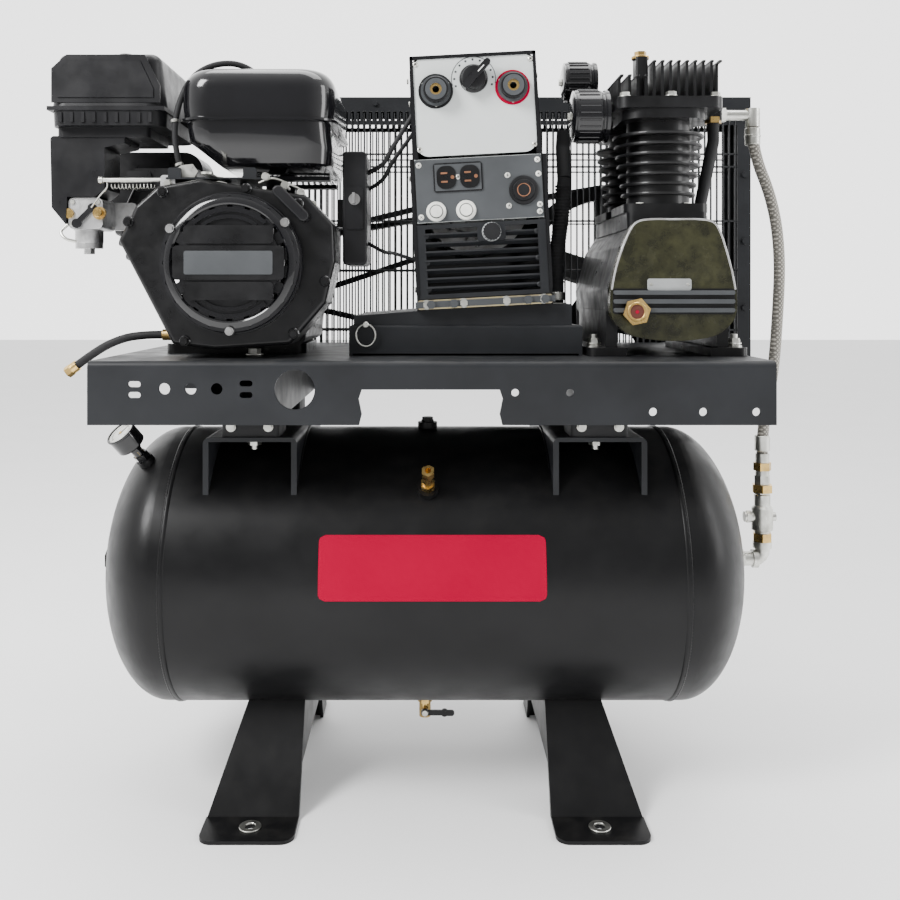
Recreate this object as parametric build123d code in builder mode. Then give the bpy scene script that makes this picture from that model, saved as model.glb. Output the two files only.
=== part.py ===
"""Engine-driven twin-cylinder air compressor with a belt-driven welder on a horizontal tank.

Millimetres. The origin lies on the floor, at the centre of the four foot anchor holes.
+X is the operator's right, +Y runs from the operator's side to the belt guard, +Z is up.
"""
import math
import os

from build123d import *

os.makedirs("parts", exist_ok=True)

# Tank
TANK_R = 203.2
TANK_WALL = 3.5
TANK_Z = 315.0
TANK_HALF = 476.0
HEAD_DEPTH = TANK_R / 2
SEAM_X = 357.0
SEAM_BEAD = 2.0
PORT_R = 15.0
BIG_PORT_R = 27.0

# Legs and their anchor holes
LEG_INNER_X = 174.0
LEG_OUTER_X = 301.0
LEG_TOP_OUTER_X = 247.0
LEG_WEB_BASE_Y = 170.0
LEG_FRONT_Y = 231.0
LEG_PLATE = 5.0
ANCHOR_X = 236.0
ANCHOR_Y = 197.0
ANCHOR_R = 7.0

# Deck
DECK_X0 = -438.0
DECK_X1 = 456.0
DECK_Z0 = 555.0
DECK_Z = 638.0
DECK_Y = 250.0
DECK_SHEET = 5.0
SADDLE_X = 244.0
SADDLE_WIDE = 131.0
SADDLE_HALF_Y = 156.0
SADDLE_TOP = 525.0
ISOLATOR_Y = 115.0

# Shaft lines: X, Z
ENGINE_X, ENGINE_Z = -257.0, 766.0
GEN_X, GEN_Z = 77.0, 862.0
PUMP_X, PUMP_Z = 340.0, 751.0

# Belt drive
GUARD_Y0 = 252.0
GUARD_Y1 = 334.0
GEN_BELT_Y = 268.0
PUMP_BELT_YS = (287.0, 305.0)
BELT_WIDE = 13.0
BELT_DEEP = 9.0
ENGINE_PULLEY_R = 58.0
PUMP_PULLEY_R = 174.0
GEN_PULLEY_R = 43.5
RUN_GAP = 0.05
BELT_GAP = 0.3

TANK_PLANE = Plane(origin=(0, 0, TANK_Z), x_dir=(1, 0, 0), z_dir=(0, -1, 0))
TANK_AXIS = Axis((0, 0, TANK_Z), (1, 0, 0))


def along_y(x, z, y=0.0):
    """Plane whose normal runs to +Y, at the given point."""
    return Plane(origin=(x, y, z), x_dir=(1, 0, 0), z_dir=(0, 1, 0))


def along_x(y, z, x=0.0):
    """Plane whose normal runs to +X, at the given point."""
    return Plane(origin=(x, y, z), x_dir=(0, 1, 0), z_dir=(1, 0, 0))


def facing(point, direction):
    """Plane at a point whose normal is the given direction."""
    return Plane(origin=point, z_dir=direction)


# ---------------------------------------------------------------- tank

GAUGE_TILT = math.radians(75)
GAUGE_ROLL = math.radians(32)
head_x = HEAD_DEPTH * math.cos(GAUGE_TILT)
head_r = TANK_R * math.sin(GAUGE_TILT)
head_slope = Vector(-math.cos(GAUGE_TILT) / HEAD_DEPTH, math.sin(GAUGE_TILT) / TANK_R, 0).normalized()
FRONT_PORT_ROLL = math.radians(48)
FRONT_PORT_X = 4.0

# Name: where the port's centre meets the tank's skin, which way it points, its radius
PORTS = {
    "top": (
        Vector(FRONT_PORT_X, 0, TANK_Z + TANK_R),
        Vector(0, 0, 1),
        PORT_R,
    ),
    "front": (
        Vector(
            FRONT_PORT_X,
            -TANK_R * math.sin(FRONT_PORT_ROLL),
            TANK_Z + TANK_R * math.cos(FRONT_PORT_ROLL),
        ),
        Vector(0, -math.sin(FRONT_PORT_ROLL), math.cos(FRONT_PORT_ROLL)),
        PORT_R,
    ),
    "gauge": (
        Vector(
            -(TANK_HALF - HEAD_DEPTH) - head_x,
            -head_r * math.sin(GAUGE_ROLL),
            TANK_Z + head_r * math.cos(GAUGE_ROLL),
        ),
        Vector(head_slope.X, -head_slope.Y * math.sin(GAUGE_ROLL), head_slope.Y * math.cos(GAUGE_ROLL)),
        12.0,
    ),
    "left": (Vector(-TANK_HALF, 0, TANK_Z), Vector(-1, 0, 0), BIG_PORT_R),
    "right": (Vector(TANK_HALF, 0, TANK_Z), Vector(1, 0, 0), BIG_PORT_R),
    "drain": (Vector(0, 0, TANK_Z - TANK_R), Vector(0, 0, -1), PORT_R),
}
PORT_PROUD = 9.0
PORT_SUNK = 13.0
PORT_BORE_R = 6.5
OUTLET_LONG = 42.0
OUTLET_BORE_R = 4.2
OUTLET_BORE_DEEP = 14.0

with BuildPart() as tank_shell:
    with BuildSketch(TANK_PLANE):
        with BuildLine():
            straight = TANK_HALF - HEAD_DEPTH
            inside_r = TANK_R - TANK_WALL
            inside_depth = HEAD_DEPTH - TANK_WALL
            EllipticalCenterArc((straight, 0), HEAD_DEPTH, TANK_R, 0, arc_size=90)
            Line((straight, TANK_R), (-straight, TANK_R))
            EllipticalCenterArc((-straight, 0), HEAD_DEPTH, TANK_R, 90, arc_size=90)
            Line((-TANK_HALF, 0), (-TANK_HALF + TANK_WALL, 0))
            EllipticalCenterArc((-straight, 0), inside_depth, inside_r, 90, arc_size=90)
            Line((-straight, inside_r), (straight, inside_r))
            EllipticalCenterArc((straight, 0), inside_depth, inside_r, 0, arc_size=90)
            Line((TANK_HALF - TANK_WALL, 0), (TANK_HALF, 0))
        make_face()
    revolve(axis=TANK_AXIS)
    for seam in (-SEAM_X, SEAM_X):
        with BuildSketch(TANK_PLANE):
            with Locations((seam, TANK_R - 0.5)):
                Ellipse(2 * SEAM_BEAD, SEAM_BEAD)
            with Locations((seam, TANK_R - TANK_WALL)):
                Rectangle(5 * SEAM_BEAD, 2 * SEAM_BEAD, mode=Mode.SUBTRACT)
        revolve(axis=TANK_AXIS)
    for centre, direction, radius in PORTS.values():
        with BuildSketch(facing(centre - direction * PORT_SUNK, direction)):
            Circle(radius)
        extrude(amount=PORT_SUNK + PORT_PROUD, mode=Mode.SUBTRACT)
tank_shell.part.label = "tank_shell"
export_step(tank_shell.part, "parts/tank_shell.step")

with BuildPart() as port_bungs:
    for centre, direction, radius in PORTS.values():
        bore = PORT_BORE_R if radius < BIG_PORT_R else 2 * PORT_BORE_R
        with BuildSketch(facing(centre - direction * PORT_SUNK, direction)):
            Circle(radius)
            Circle(bore, mode=Mode.SUBTRACT)
        extrude(amount=PORT_SUNK + PORT_PROUD)


def port_plane(name, lift=PORT_PROUD):
    """Plane on a port's outer face, or lifted along its direction."""
    centre, direction, _ = PORTS[name]
    return facing(centre + direction * lift, direction)


with BuildPart() as tank_plugs:
    for name in ("top", "left"):
        big = PORTS[name][2] == BIG_PORT_R
        shank = 2 * PORT_BORE_R if big else PORT_BORE_R
        with BuildSketch(port_plane(name, PORT_PROUD - 12)):
            Circle(shank)
        extrude(amount=12)
        with BuildSketch(port_plane(name)):
            Circle(1.5 * shank)
        extrude(amount=3)
        with BuildSketch(port_plane(name, PORT_PROUD + 3)):
            RegularPolygon(1.3 * shank, 6)
        extrude(amount=0.7 * shank if not big else 4)
tank_ports = Compound(label="tank_ports", children=[port_bungs.part, tank_plugs.part])
export_step(tank_ports, "parts/tank_ports.step")

with BuildPart() as front_outlet:
    with BuildSketch(port_plane("front", PORT_PROUD - 12)):
        Circle(PORT_BORE_R)
    extrude(amount=12)
    with BuildSketch(port_plane("front")):
        RegularPolygon(10.5, 6)
    extrude(amount=10)
    with BuildSketch(port_plane("front", PORT_PROUD + 10)):
        Circle(7.5)
    extrude(amount=OUTLET_LONG - 22)
    with BuildSketch(port_plane("front", PORT_PROUD + OUTLET_LONG - 12)):
        RegularPolygon(9.5, 6)
    extrude(amount=12)
    with BuildSketch(port_plane("front", PORT_PROUD + OUTLET_LONG - OUTLET_BORE_DEEP)):
        Circle(OUTLET_BORE_R)
    extrude(amount=OUTLET_BORE_DEEP, mode=Mode.SUBTRACT)

with BuildPart() as gauge_nipple:
    with BuildSketch(port_plane("gauge", PORT_PROUD - 12)):
        Circle(PORT_BORE_R)
    extrude(amount=12)
    with BuildSketch(port_plane("gauge")):
        RegularPolygon(11, 6)
    extrude(amount=10)
    with BuildSketch(port_plane("gauge", PORT_PROUD + 10)):
        Circle(8)
    extrude(amount=10)
    with BuildSketch(port_plane("gauge", PORT_PROUD + 20)):
        RegularPolygon(9.5, 6)
    extrude(amount=8)

with BuildPart() as gauge_case:
    with BuildSketch(port_plane("gauge", PORT_PROUD + 28)):
        Circle(21)
    extrude(amount=26)
    fillet(gauge_case.edges().filter_by(GeomType.CIRCLE), 2.5)
    with BuildSketch(port_plane("gauge", PORT_PROUD + 51)):
        Circle(17)
    extrude(amount=5, mode=Mode.SUBTRACT)
tank_gauge = Compound(label="tank_gauge", children=[gauge_case.part, gauge_nipple.part])
export_step(tank_gauge, "parts/tank_gauge.step")

# Drain cock under the tank: body, and a lever that turns a quarter about the valve's stem
DRAIN_Z = TANK_Z - TANK_R - PORT_PROUD
with BuildPart() as drain_cock:
    with BuildSketch(Plane.XY.offset(DRAIN_Z + 12)):
        Circle(PORT_BORE_R)
    extrude(amount=-12)
    with BuildSketch(Plane.XY.offset(DRAIN_Z)):
        RegularPolygon(11, 6)
    extrude(amount=-9)
    with BuildSketch(Plane.XY.offset(DRAIN_Z - 9)):
        Circle(9)
    extrude(amount=-22)
    with BuildSketch(along_y(0, DRAIN_Z - 20, -14)):
        Circle(5)
    extrude(amount=14)
    with BuildSketch(Plane.XY.offset(DRAIN_Z - 31)):
        Circle(3.5)
    extrude(amount=14, mode=Mode.SUBTRACT)

with BuildPart() as drain_lever:
    with BuildSketch(along_y(0, DRAIN_Z - 20, -17.5)):
        Circle(6)
        with Locations((14, 0)):
            Rectangle(28, 8)
        with Locations((30, 0)):
            Circle(6)
    extrude(amount=3)
drain_lever.part.label = "drain_lever"
export_step(drain_lever.part, "parts/drain_lever.step")

# Right head: galvanised elbow, brass check valve, its cap nut and the hose tail
CHECK_X = 523.0
CHECK_Z0 = 342.0
with BuildPart() as tank_elbow:
    with BuildSketch(port_plane("right", PORT_PROUD - 12)):
        Circle(2 * PORT_BORE_R)
    extrude(amount=12)
    with BuildSketch(port_plane("right")):
        RegularPolygon(15, 6)
    extrude(amount=8)
    with BuildLine():
        elbow_path = FilletPolyline(
            (TANK_HALF + PORT_PROUD + 8, 0, TANK_Z),
            (CHECK_X, 0, TANK_Z),
            (CHECK_X, 0, CHECK_Z0),
            radius=14,
        )
    with BuildSketch(facing(elbow_path @ 0, elbow_path % 0)):
        Circle(11)
    sweep(path=elbow_path)
    with BuildSketch(Plane.XY.offset(CHECK_Z0 - 10)):
        with Locations((CHECK_X, 0)):
            Circle(14)
    extrude(amount=10)
    with BuildSketch(facing((CHECK_X - 8, 0, TANK_Z), (-1, 0, 0))):
        Circle(14)
    extrude(amount=8)

with BuildPart() as check_valve:
    with BuildSketch(Plane(origin=(CHECK_X, 0, CHECK_Z0), x_dir=(1, 0, 0), z_dir=(0, -1, 0))):
        with BuildLine():
            Polyline(
                (0, 0), (12, 0), (12, 16), (16, 18), (16, 52), (12, 56),
                (12, 72), (9.5, 74), (9.5, 88), (0, 88), (0, 0),
            )
        make_face()
    revolve(axis=Axis((CHECK_X, 0, CHECK_Z0), (0, 0, 1)))
    with BuildSketch(facing((CHECK_X, 0, CHECK_Z0 + 38), (-1, 0, 0))):
        Circle(8)
    extrude(amount=28)
    with BuildSketch(facing((CHECK_X - 18, 0, CHECK_Z0 + 38), (-1, 0, 0))):
        RegularPolygon(9.5, 6)
    extrude(amount=7)
    with BuildSketch(facing((CHECK_X, 0, CHECK_Z0 + 38), (1, 0, 0))):
        Circle(7)
    extrude(amount=20)
    with BuildSketch(Plane.XY.offset(CHECK_Z0 + 74)):
        with Locations((CHECK_X, 0)):
            RegularPolygon(13, 6)
    extrude(amount=10)
check_valve.part.label = "check_valve"
export_step(check_valve.part, "parts/check_valve.step")

# ---------------------------------------------------------------- legs

TANK_BOTTOM_Y = 96.0
tank_dip = math.sqrt(TANK_R**2 - TANK_BOTTOM_Y**2)
LEG_TOP_Z = TANK_Z - tank_dip
SIDE_PLATE_Z = 60.0
LEG_FLANGE = 18.0

# The solid the tank fills, kept as a cutter for everything saddled on it
with BuildPart() as tank_cutter:
    with BuildSketch(along_x(0, TANK_Z, -SEAM_X + 10)):
        Circle(TANK_R)
    extrude(amount=2 * SEAM_X - 20)


def leg(side):
    """Folded plate saddle leg across the tank; side is -1 on the left and 1 on the right."""
    x_in, x_out, x_top = side * LEG_INNER_X, side * LEG_OUTER_X, side * LEG_TOP_OUTER_X
    x_mid = (x_in + x_out) / 2
    rise = math.atan2(LEG_TOP_Z - LEG_PLATE, LEG_WEB_BASE_Y - TANK_BOTTOM_Y)
    slope = math.hypot(LEG_TOP_Z, LEG_WEB_BASE_Y - TANK_BOTTOM_Y) + 30
    with BuildPart() as one:
        for end in (-1, 1):
            with BuildSketch(Plane.XY):
                with Locations((x_mid, end * (LEG_FRONT_Y + LEG_WEB_BASE_Y) / 2)):
                    Rectangle(LEG_OUTER_X - LEG_INNER_X, LEG_FRONT_Y - LEG_WEB_BASE_Y)
            extrude(amount=LEG_PLATE)
        outer_edges = one.edges().filter_by(Axis.Z).group_by(SortBy.LENGTH)[-1]
        corners = [edge for edge in outer_edges if abs(edge.center().Y) > LEG_FRONT_Y - 1]
        fillet(corners, 18)
        for end in (-1, 1):
            foot = Vector(x_mid, end * LEG_WEB_BASE_Y, 0)
            up = Vector(0, -end * math.cos(rise), math.sin(rise))
            web = Plane(origin=foot, x_dir=(1, 0, 0), z_dir=Vector(1, 0, 0).cross(up))
            inner, outer, top = x_in - x_mid, x_out - x_mid, x_top - x_mid
            with BuildSketch(web):
                with BuildLine():
                    Polyline((inner, 0), (outer, 0), (top, slope), (inner, slope), (inner, 0))
                make_face()
            extrude(amount=LEG_PLATE / 2, both=True)
            with BuildSketch(web):
                with BuildLine():
                    Polyline(
                        (outer, 0), (outer - side * LEG_PLATE, 0),
                        (top - side * LEG_PLATE, slope), (top, slope), (outer, 0),
                    )
                make_face()
            extrude(amount=LEG_FLANGE * end)
        with BuildSketch(along_x(0, 0, x_in)):
            with BuildLine():
                Polyline(
                    (-LEG_WEB_BASE_Y, 0), (-LEG_WEB_BASE_Y + 12, 0), (-LEG_WEB_BASE_Y + 42, SIDE_PLATE_Z),
                    (LEG_WEB_BASE_Y - 42, SIDE_PLATE_Z), (LEG_WEB_BASE_Y - 12, 0), (LEG_WEB_BASE_Y, 0),
                    (TANK_BOTTOM_Y, LEG_TOP_Z), (-TANK_BOTTOM_Y, LEG_TOP_Z), (-LEG_WEB_BASE_Y, 0),
                )
            make_face()
        extrude(amount=side * LEG_PLATE)
        add(tank_cutter.part, mode=Mode.SUBTRACT)
        with BuildSketch(Plane.XY.offset(-1)):
            with Locations((side * ANCHOR_X, ANCHOR_Y), (side * ANCHOR_X, -ANCHOR_Y)):
                Circle(ANCHOR_R)
        extrude(amount=LEG_PLATE + 2, mode=Mode.SUBTRACT)
        split(bisect_by=Plane.XY, keep=Keep.TOP)
    return one.part


tank_legs = Compound(label="tank_legs", children=[leg(-1), leg(1)])
export_step(tank_legs, "parts/tank_legs.step")

# ---------------------------------------------------------------- deck and its saddles

DECK_LONG = DECK_X1 - DECK_X0
# Holes through both flanges: X, Z, radius
DECK_HOLES = (
    (-338, 602, 7.5), (-304, 602, 7.5), (-270, 602, 7.5), (-169, 601, 26),
    (117, 597, 5), (188, 597, 5), (296, 572, 5.5), (361, 572, 5.5), (430, 572, 5.5),
)
DECK_SLOTS = ((-377, 608), (-377, 594), (-232, 609), (-232, 594))
WINDOW_X0, WINDOW_X1, WINDOW_Z1 = -82.0, 97.0, 601.0
CROSS_WALL = 5.0
CROSS_HALF_Y = DECK_Y - DECK_SHEET - 4.0
CROSS_WIDE = 93.0
BOLT_R = 5.0

with BuildPart() as deck_tray:
    with BuildSketch(along_x(0, 0, DECK_X0)):
        with Locations((0, (DECK_Z0 + DECK_Z) / 2)):
            Rectangle(2 * DECK_Y, DECK_Z - DECK_Z0)
    extrude(amount=DECK_LONG)
    long_top = deck_tray.edges().filter_by(Axis.X).group_by(Axis.Z)[-1]
    fillet(long_top, 8)
    with BuildSketch(along_x(0, 0, DECK_X0 - 1)):
        with Locations((0, (DECK_Z0 + DECK_Z) / 2 - DECK_SHEET)):
            RectangleRounded(2 * (DECK_Y - DECK_SHEET), DECK_Z - DECK_Z0, 3)
        with Locations((0, DECK_Z0 - 5)):
            Rectangle(2 * (DECK_Y - DECK_SHEET), 50)
    extrude(amount=DECK_LONG + 2, mode=Mode.SUBTRACT)
    with BuildSketch(along_y(0, 0, -DECK_Y - 1)):
        for x, z, radius in DECK_HOLES:
            with Locations((x, -z)):
                Circle(radius)
        for x, z in DECK_SLOTS:
            with Locations((x, -z)):
                SlotOverall(17, 8)
        with BuildLine():
            Polyline(
                (WINDOW_X0, -WINDOW_Z1), (WINDOW_X1, -WINDOW_Z1), (WINDOW_X1 + 4, -WINDOW_Z1 + 12),
                (WINDOW_X1, -DECK_Z0 - 14), (WINDOW_X1 + 4, -DECK_Z0 + 2), (WINDOW_X0 - 4, -DECK_Z0 + 2),
                (WINDOW_X0, -DECK_Z0 - 14), (WINDOW_X0 - 4, -WINDOW_Z1 + 12), (WINDOW_X0, -WINDOW_Z1),
            )
        make_face()
    extrude(amount=2 * DECK_Y + 2, mode=Mode.SUBTRACT)
deck_tray.part.label = "deck_tray"
export_step(deck_tray.part, "parts/deck_tray.step")

# Hat channels inside the tray, over the saddles
with BuildPart() as deck_cross_members:
    for side in (-1, 1):
        with BuildSketch(along_y(side * SADDLE_X, 0, -CROSS_HALF_Y)):
            with Locations((0, -(DECK_Z0 + DECK_Z - DECK_SHEET) / 2)):
                Rectangle(CROSS_WIDE, DECK_Z - DECK_SHEET - DECK_Z0)
            with Locations((0, -(DECK_Z0 + DECK_Z - DECK_SHEET) / 2 - CROSS_WALL / 2)):
                Rectangle(CROSS_WIDE - 2 * CROSS_WALL, DECK_Z - DECK_SHEET - DECK_Z0 - CROSS_WALL,
                          mode=Mode.SUBTRACT)
        extrude(amount=2 * CROSS_HALF_Y)
    with BuildSketch(Plane.XY.offset(DECK_Z0 - 1)):
        with GridLocations(2 * SADDLE_X, 2 * ISOLATOR_Y, 2, 2):
            Circle(BOLT_R + 0.5)
    extrude(amount=CROSS_WALL + 2, mode=Mode.SUBTRACT)

SADDLE_SHEET = 6.0
SADDLE_LEG = 8.0


def saddle(side):
    """Inverted channel welded across the tank's crown."""
    with BuildPart() as one:
        with BuildSketch(along_y(side * SADDLE_X, 0, -SADDLE_HALF_Y)):
            with Locations((0, -(SADDLE_TOP + 430) / 2)):
                Rectangle(SADDLE_WIDE, SADDLE_TOP - 430)
        extrude(amount=2 * SADDLE_HALF_Y)
        top_edges = one.edges().filter_by(Axis.Y).group_by(Axis.Z)[-1]
        fillet(top_edges, 9)
        with BuildSketch(along_y(side * SADDLE_X, 0, -SADDLE_HALF_Y - 1)):
            with Locations((0, -(SADDLE_TOP + 420) / 2 + SADDLE_SHEET)):
                Rectangle(SADDLE_WIDE - 2 * SADDLE_LEG, SADDLE_TOP - 420)
        extrude(amount=2 * SADDLE_HALF_Y + 2, mode=Mode.SUBTRACT)
        add(tank_cutter.part, mode=Mode.SUBTRACT)
        with BuildSketch(Plane.XY.offset(SADDLE_TOP + 1)):
            with Locations((side * SADDLE_X, ISOLATOR_Y), (side * SADDLE_X, -ISOLATOR_Y)):
                Circle(BOLT_R + 0.5)
        extrude(amount=-SADDLE_SHEET - 2, mode=Mode.SUBTRACT)
    return one.part


deck_supports = Compound(label="deck_supports", children=[saddle(-1), saddle(1), deck_cross_members.part])
export_step(deck_supports, "parts/deck_supports.step")

with BuildPart() as deck_isolators:
    with BuildSketch(Plane.XY.offset(SADDLE_TOP)):
        with GridLocations(2 * SADDLE_X, 2 * ISOLATOR_Y, 2, 2):
            RectangleRounded(80, 76, 6)
            Circle(BOLT_R + 0.5, mode=Mode.SUBTRACT)
    extrude(amount=DECK_Z0 - SADDLE_TOP)
deck_isolators.part.label = "deck_isolators"
export_step(deck_isolators.part, "parts/deck_isolators.step")

with BuildPart() as deck_bolts:
    for x in (-SADDLE_X, SADDLE_X):
        for y in (-ISOLATOR_Y, ISOLATOR_Y):
            with BuildSketch(Plane.XY.offset(DECK_Z0 + CROSS_WALL + 7)):
                with Locations((x, y)):
                    Circle(BOLT_R)
            extrude(amount=-(DECK_Z0 + CROSS_WALL + 7 - SADDLE_TOP + SADDLE_SHEET + 16))
            with BuildSketch(Plane.XY.offset(DECK_Z0 + CROSS_WALL)):
                with Locations((x, y)):
                    RegularPolygon(9.8, 6)
            extrude(amount=7)
            with BuildSketch(Plane.XY.offset(SADDLE_TOP - SADDLE_SHEET)):
                with Locations((x, y)):
                    Circle(10.5)
            extrude(amount=-2)
            with BuildSketch(Plane.XY.offset(SADDLE_TOP - SADDLE_SHEET - 2)):
                with Locations((x, y)):
                    RegularPolygon(9.8, 6)
            extrude(amount=-8)

# ---------------------------------------------------------------- engine

ENGINE_Y0, ENGINE_Y1 = -112.0, 118.0
CYL_TILT = 25.0
CRANK_SHAFT_R = 12.7
PTO_BOSS_R = 42.0
FOOT_X = ENGINE_X - 21.0
FOOT_PITCH_X, FOOT_PITCH_Y = 162.0, 105.0
FOOT_Y = -8.0
SHROUD_Y0 = -205.0


def bank_plane(distance):
    """Plane square to the cylinder's bore, at a distance from the crankshaft."""
    lean = math.radians(CYL_TILT)
    toward = Vector(-math.cos(lean), 0, math.sin(lean))
    start = Vector(ENGINE_X, -5, ENGINE_Z) + toward * distance
    return Plane(origin=start, x_dir=(0, 1, 0), z_dir=toward)


with BuildPart() as engine_crankcase:
    with BuildSketch(along_y(0, 0, ENGINE_Y0)):
        with BuildLine():
            Polyline(
                (ENGINE_X - 92, -DECK_Z - 14), (ENGINE_X + 84, -DECK_Z - 14),
                (ENGINE_X + 92, -ENGINE_Z + 40), (ENGINE_X + 70, -ENGINE_Z - 70),
                (ENGINE_X - 20, -ENGINE_Z - 98), (ENGINE_X - 92, -ENGINE_Z - 60),
                (ENGINE_X - 92, -DECK_Z - 14),
            )
        make_face()
    extrude(amount=ENGINE_Y1 - ENGINE_Y0)
    fillet(engine_crankcase.edges().filter_by(Axis.Y), 12)
    with BuildSketch(along_y(ENGINE_X, ENGINE_Z, ENGINE_Y1)):
        Circle(PTO_BOSS_R)
    extrude(amount=10)
    with BuildSketch(Plane.XY.offset(DECK_Z)):
        with Locations((FOOT_X, FOOT_Y)):
            RectangleRounded(FOOT_PITCH_X + 44, FOOT_PITCH_Y + 44, 14)
    extrude(amount=14)
    with BuildSketch(bank_plane(60)):
        RectangleRounded(120, 120, 20)
    extrude(amount=52)
    with BuildSketch(along_y(ENGINE_X, ENGINE_Z, ENGINE_Y0 + 10)):
        Circle(70)
    extrude(amount=ENGINE_Y1 - ENGINE_Y0 - 20, mode=Mode.SUBTRACT)
    with BuildSketch(along_y(ENGINE_X, ENGINE_Z, ENGINE_Y0 - 1)):
        Circle(CRANK_SHAFT_R + RUN_GAP)
    extrude(amount=ENGINE_Y1 - ENGINE_Y0 + 12, mode=Mode.SUBTRACT)
    with BuildSketch(bank_plane(40)):
        Circle(44.3)
    extrude(amount=80, mode=Mode.SUBTRACT)
    with BuildSketch(Plane.XY.offset(DECK_Z - 1)):
        with Locations((FOOT_X, FOOT_Y)):
            with GridLocations(FOOT_PITCH_X, FOOT_PITCH_Y, 2, 2):
                Circle(5.5)
    extrude(amount=16, mode=Mode.SUBTRACT)
    with BuildSketch(Plane.XY.offset(DECK_Z + 14)):
        with Locations((FOOT_X, FOOT_Y)):
            with GridLocations(FOOT_PITCH_X, FOOT_PITCH_Y, 2, 2):
                Circle(13)
    extrude(amount=28, mode=Mode.SUBTRACT)

with BuildPart() as engine_foot_bolts:
    for x in (FOOT_X - FOOT_PITCH_X / 2, FOOT_X + FOOT_PITCH_X / 2):
        for y in (FOOT_Y - FOOT_PITCH_Y / 2, FOOT_Y + FOOT_PITCH_Y / 2):
            with BuildSketch(Plane.XY.offset(DECK_Z)):
                with Locations((x, y)):
                    Circle(5)
            extrude(amount=14)
            with BuildSketch(Plane.XY.offset(DECK_Z + 14)):
                with Locations((x, y)):
                    Circle(11)
            extrude(amount=2)
            with BuildSketch(Plane.XY.offset(DECK_Z + 16)):
                with Locations((x, y)):
                    RegularPolygon(9, 6)
            extrude(amount=7)

with BuildPart() as engine_cylinder:
    with BuildSketch(bank_plane(112)):
        RectangleRounded(112, 112, 18)
        Circle(44.3, mode=Mode.SUBTRACT)
    extrude(amount=66)
    for step in range(6):
        with BuildSketch(bank_plane(116 + 11 * step)):
            RectangleRounded(146, 140, 24)
            Circle(50, mode=Mode.SUBTRACT)
        extrude(amount=4)
engine_block = Compound(label="engine_block", children=[engine_crankcase.part, engine_cylinder.part])
export_step(engine_block, "parts/engine_block.step")

with BuildPart() as engine_piston:
    with BuildSketch(bank_plane(118)):
        Circle(44)
    extrude(amount=50)
    with BuildSketch(bank_plane(117)):
        Circle(38)
    extrude(amount=42, mode=Mode.SUBTRACT)

with BuildPart() as valve_cover:
    with BuildSketch(bank_plane(178)):
        RectangleRounded(130, 112, 16)
    extrude(amount=16)
    with BuildSketch(bank_plane(194)):
        RectangleRounded(104, 88, 14)
    extrude(amount=18)
    fillet(valve_cover.faces().sort_by(Axis.X)[0].edges(), 5)
valve_cover.part.label = "valve_cover"
export_step(valve_cover.part, "parts/valve_cover.step")

# Crankshaft: journals, webs, crankpin and the output end
with BuildPart() as engine_crankshaft:
    with BuildSketch(along_y(ENGINE_X, ENGINE_Z, -172)):
        Circle(CRANK_SHAFT_R)
    extrude(amount=172 + ENGINE_Y0 + 30)
    with BuildSketch(along_y(ENGINE_X, ENGINE_Z, 60)):
        Circle(CRANK_SHAFT_R)
    extrude(amount=PUMP_BELT_YS[1] + 14 - 60)
    for y in (ENGINE_Y0 + 30, 42):
        with BuildSketch(along_y(ENGINE_X, ENGINE_Z, y)):
            SlotOverall(120, 56)
        extrude(amount=18)
    with BuildSketch(along_y(ENGINE_X - 32, ENGINE_Z, ENGINE_Y0 + 48)):
        Circle(17)
    extrude(amount=42 - ENGINE_Y0 - 48)
engine_crankshaft.part.label = "engine_crankshaft"
export_step(engine_crankshaft.part, "parts/engine_crankshaft.step")

# Flywheel with its cooling blades, behind the recoil cover
with BuildPart() as engine_flywheel:
    with BuildSketch(along_y(ENGINE_X, ENGINE_Z, -150)):
        Circle(84)
        Circle(CRANK_SHAFT_R, mode=Mode.SUBTRACT)
    extrude(amount=26)
    with BuildSketch(along_y(ENGINE_X, ENGINE_Z, -168)):
        with PolarLocations(66, 14):
            Rectangle(34, 4, rotation=28)
    extrude(amount=18)
engine_flywheel.part.label = "engine_flywheel"
export_step(engine_flywheel.part, "parts/engine_flywheel.step")

# Blower shroud: a hollow cowl round the flywheel, open at the back and at the recoil cover
SHROUD_OUTLINE = (
    (-412, 797), (-389, 844), (-360, 870), (-302, 880), (-160, 858), (-123, 818),
    (-121, 768), (-134, 712), (-181, 657), (-282, 650), (-339, 657),
)
with BuildPart() as blower_shroud:
    with BuildSketch(along_y(0, 0, SHROUD_Y0)):
        with BuildLine():
            Polyline([(x, -z) for x, z in SHROUD_OUTLINE], close=True)
        make_face()
    extrude(amount=ENGINE_Y0 - SHROUD_Y0)
    fillet(blower_shroud.edges().filter_by(Axis.Y), 8)
    fillet(blower_shroud.faces().sort_by(Axis.Y)[0].edges(), 6)
    with BuildSketch(along_y(0, 0, SHROUD_Y0 + 4)):
        with BuildLine():
            Polyline([(x, -z) for x, z in SHROUD_OUTLINE], close=True)
        make_face()
        offset(amount=-4)
    extrude(amount=ENGINE_Y0 - SHROUD_Y0, mode=Mode.SUBTRACT)
    with BuildSketch(along_y(ENGINE_X, ENGINE_Z, SHROUD_Y0 - 1)):
        Circle(92)
    extrude(amount=10, mode=Mode.SUBTRACT)
blower_shroud.part.label = "blower_shroud"
export_step(blower_shroud.part, "parts/blower_shroud.step")

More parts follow.
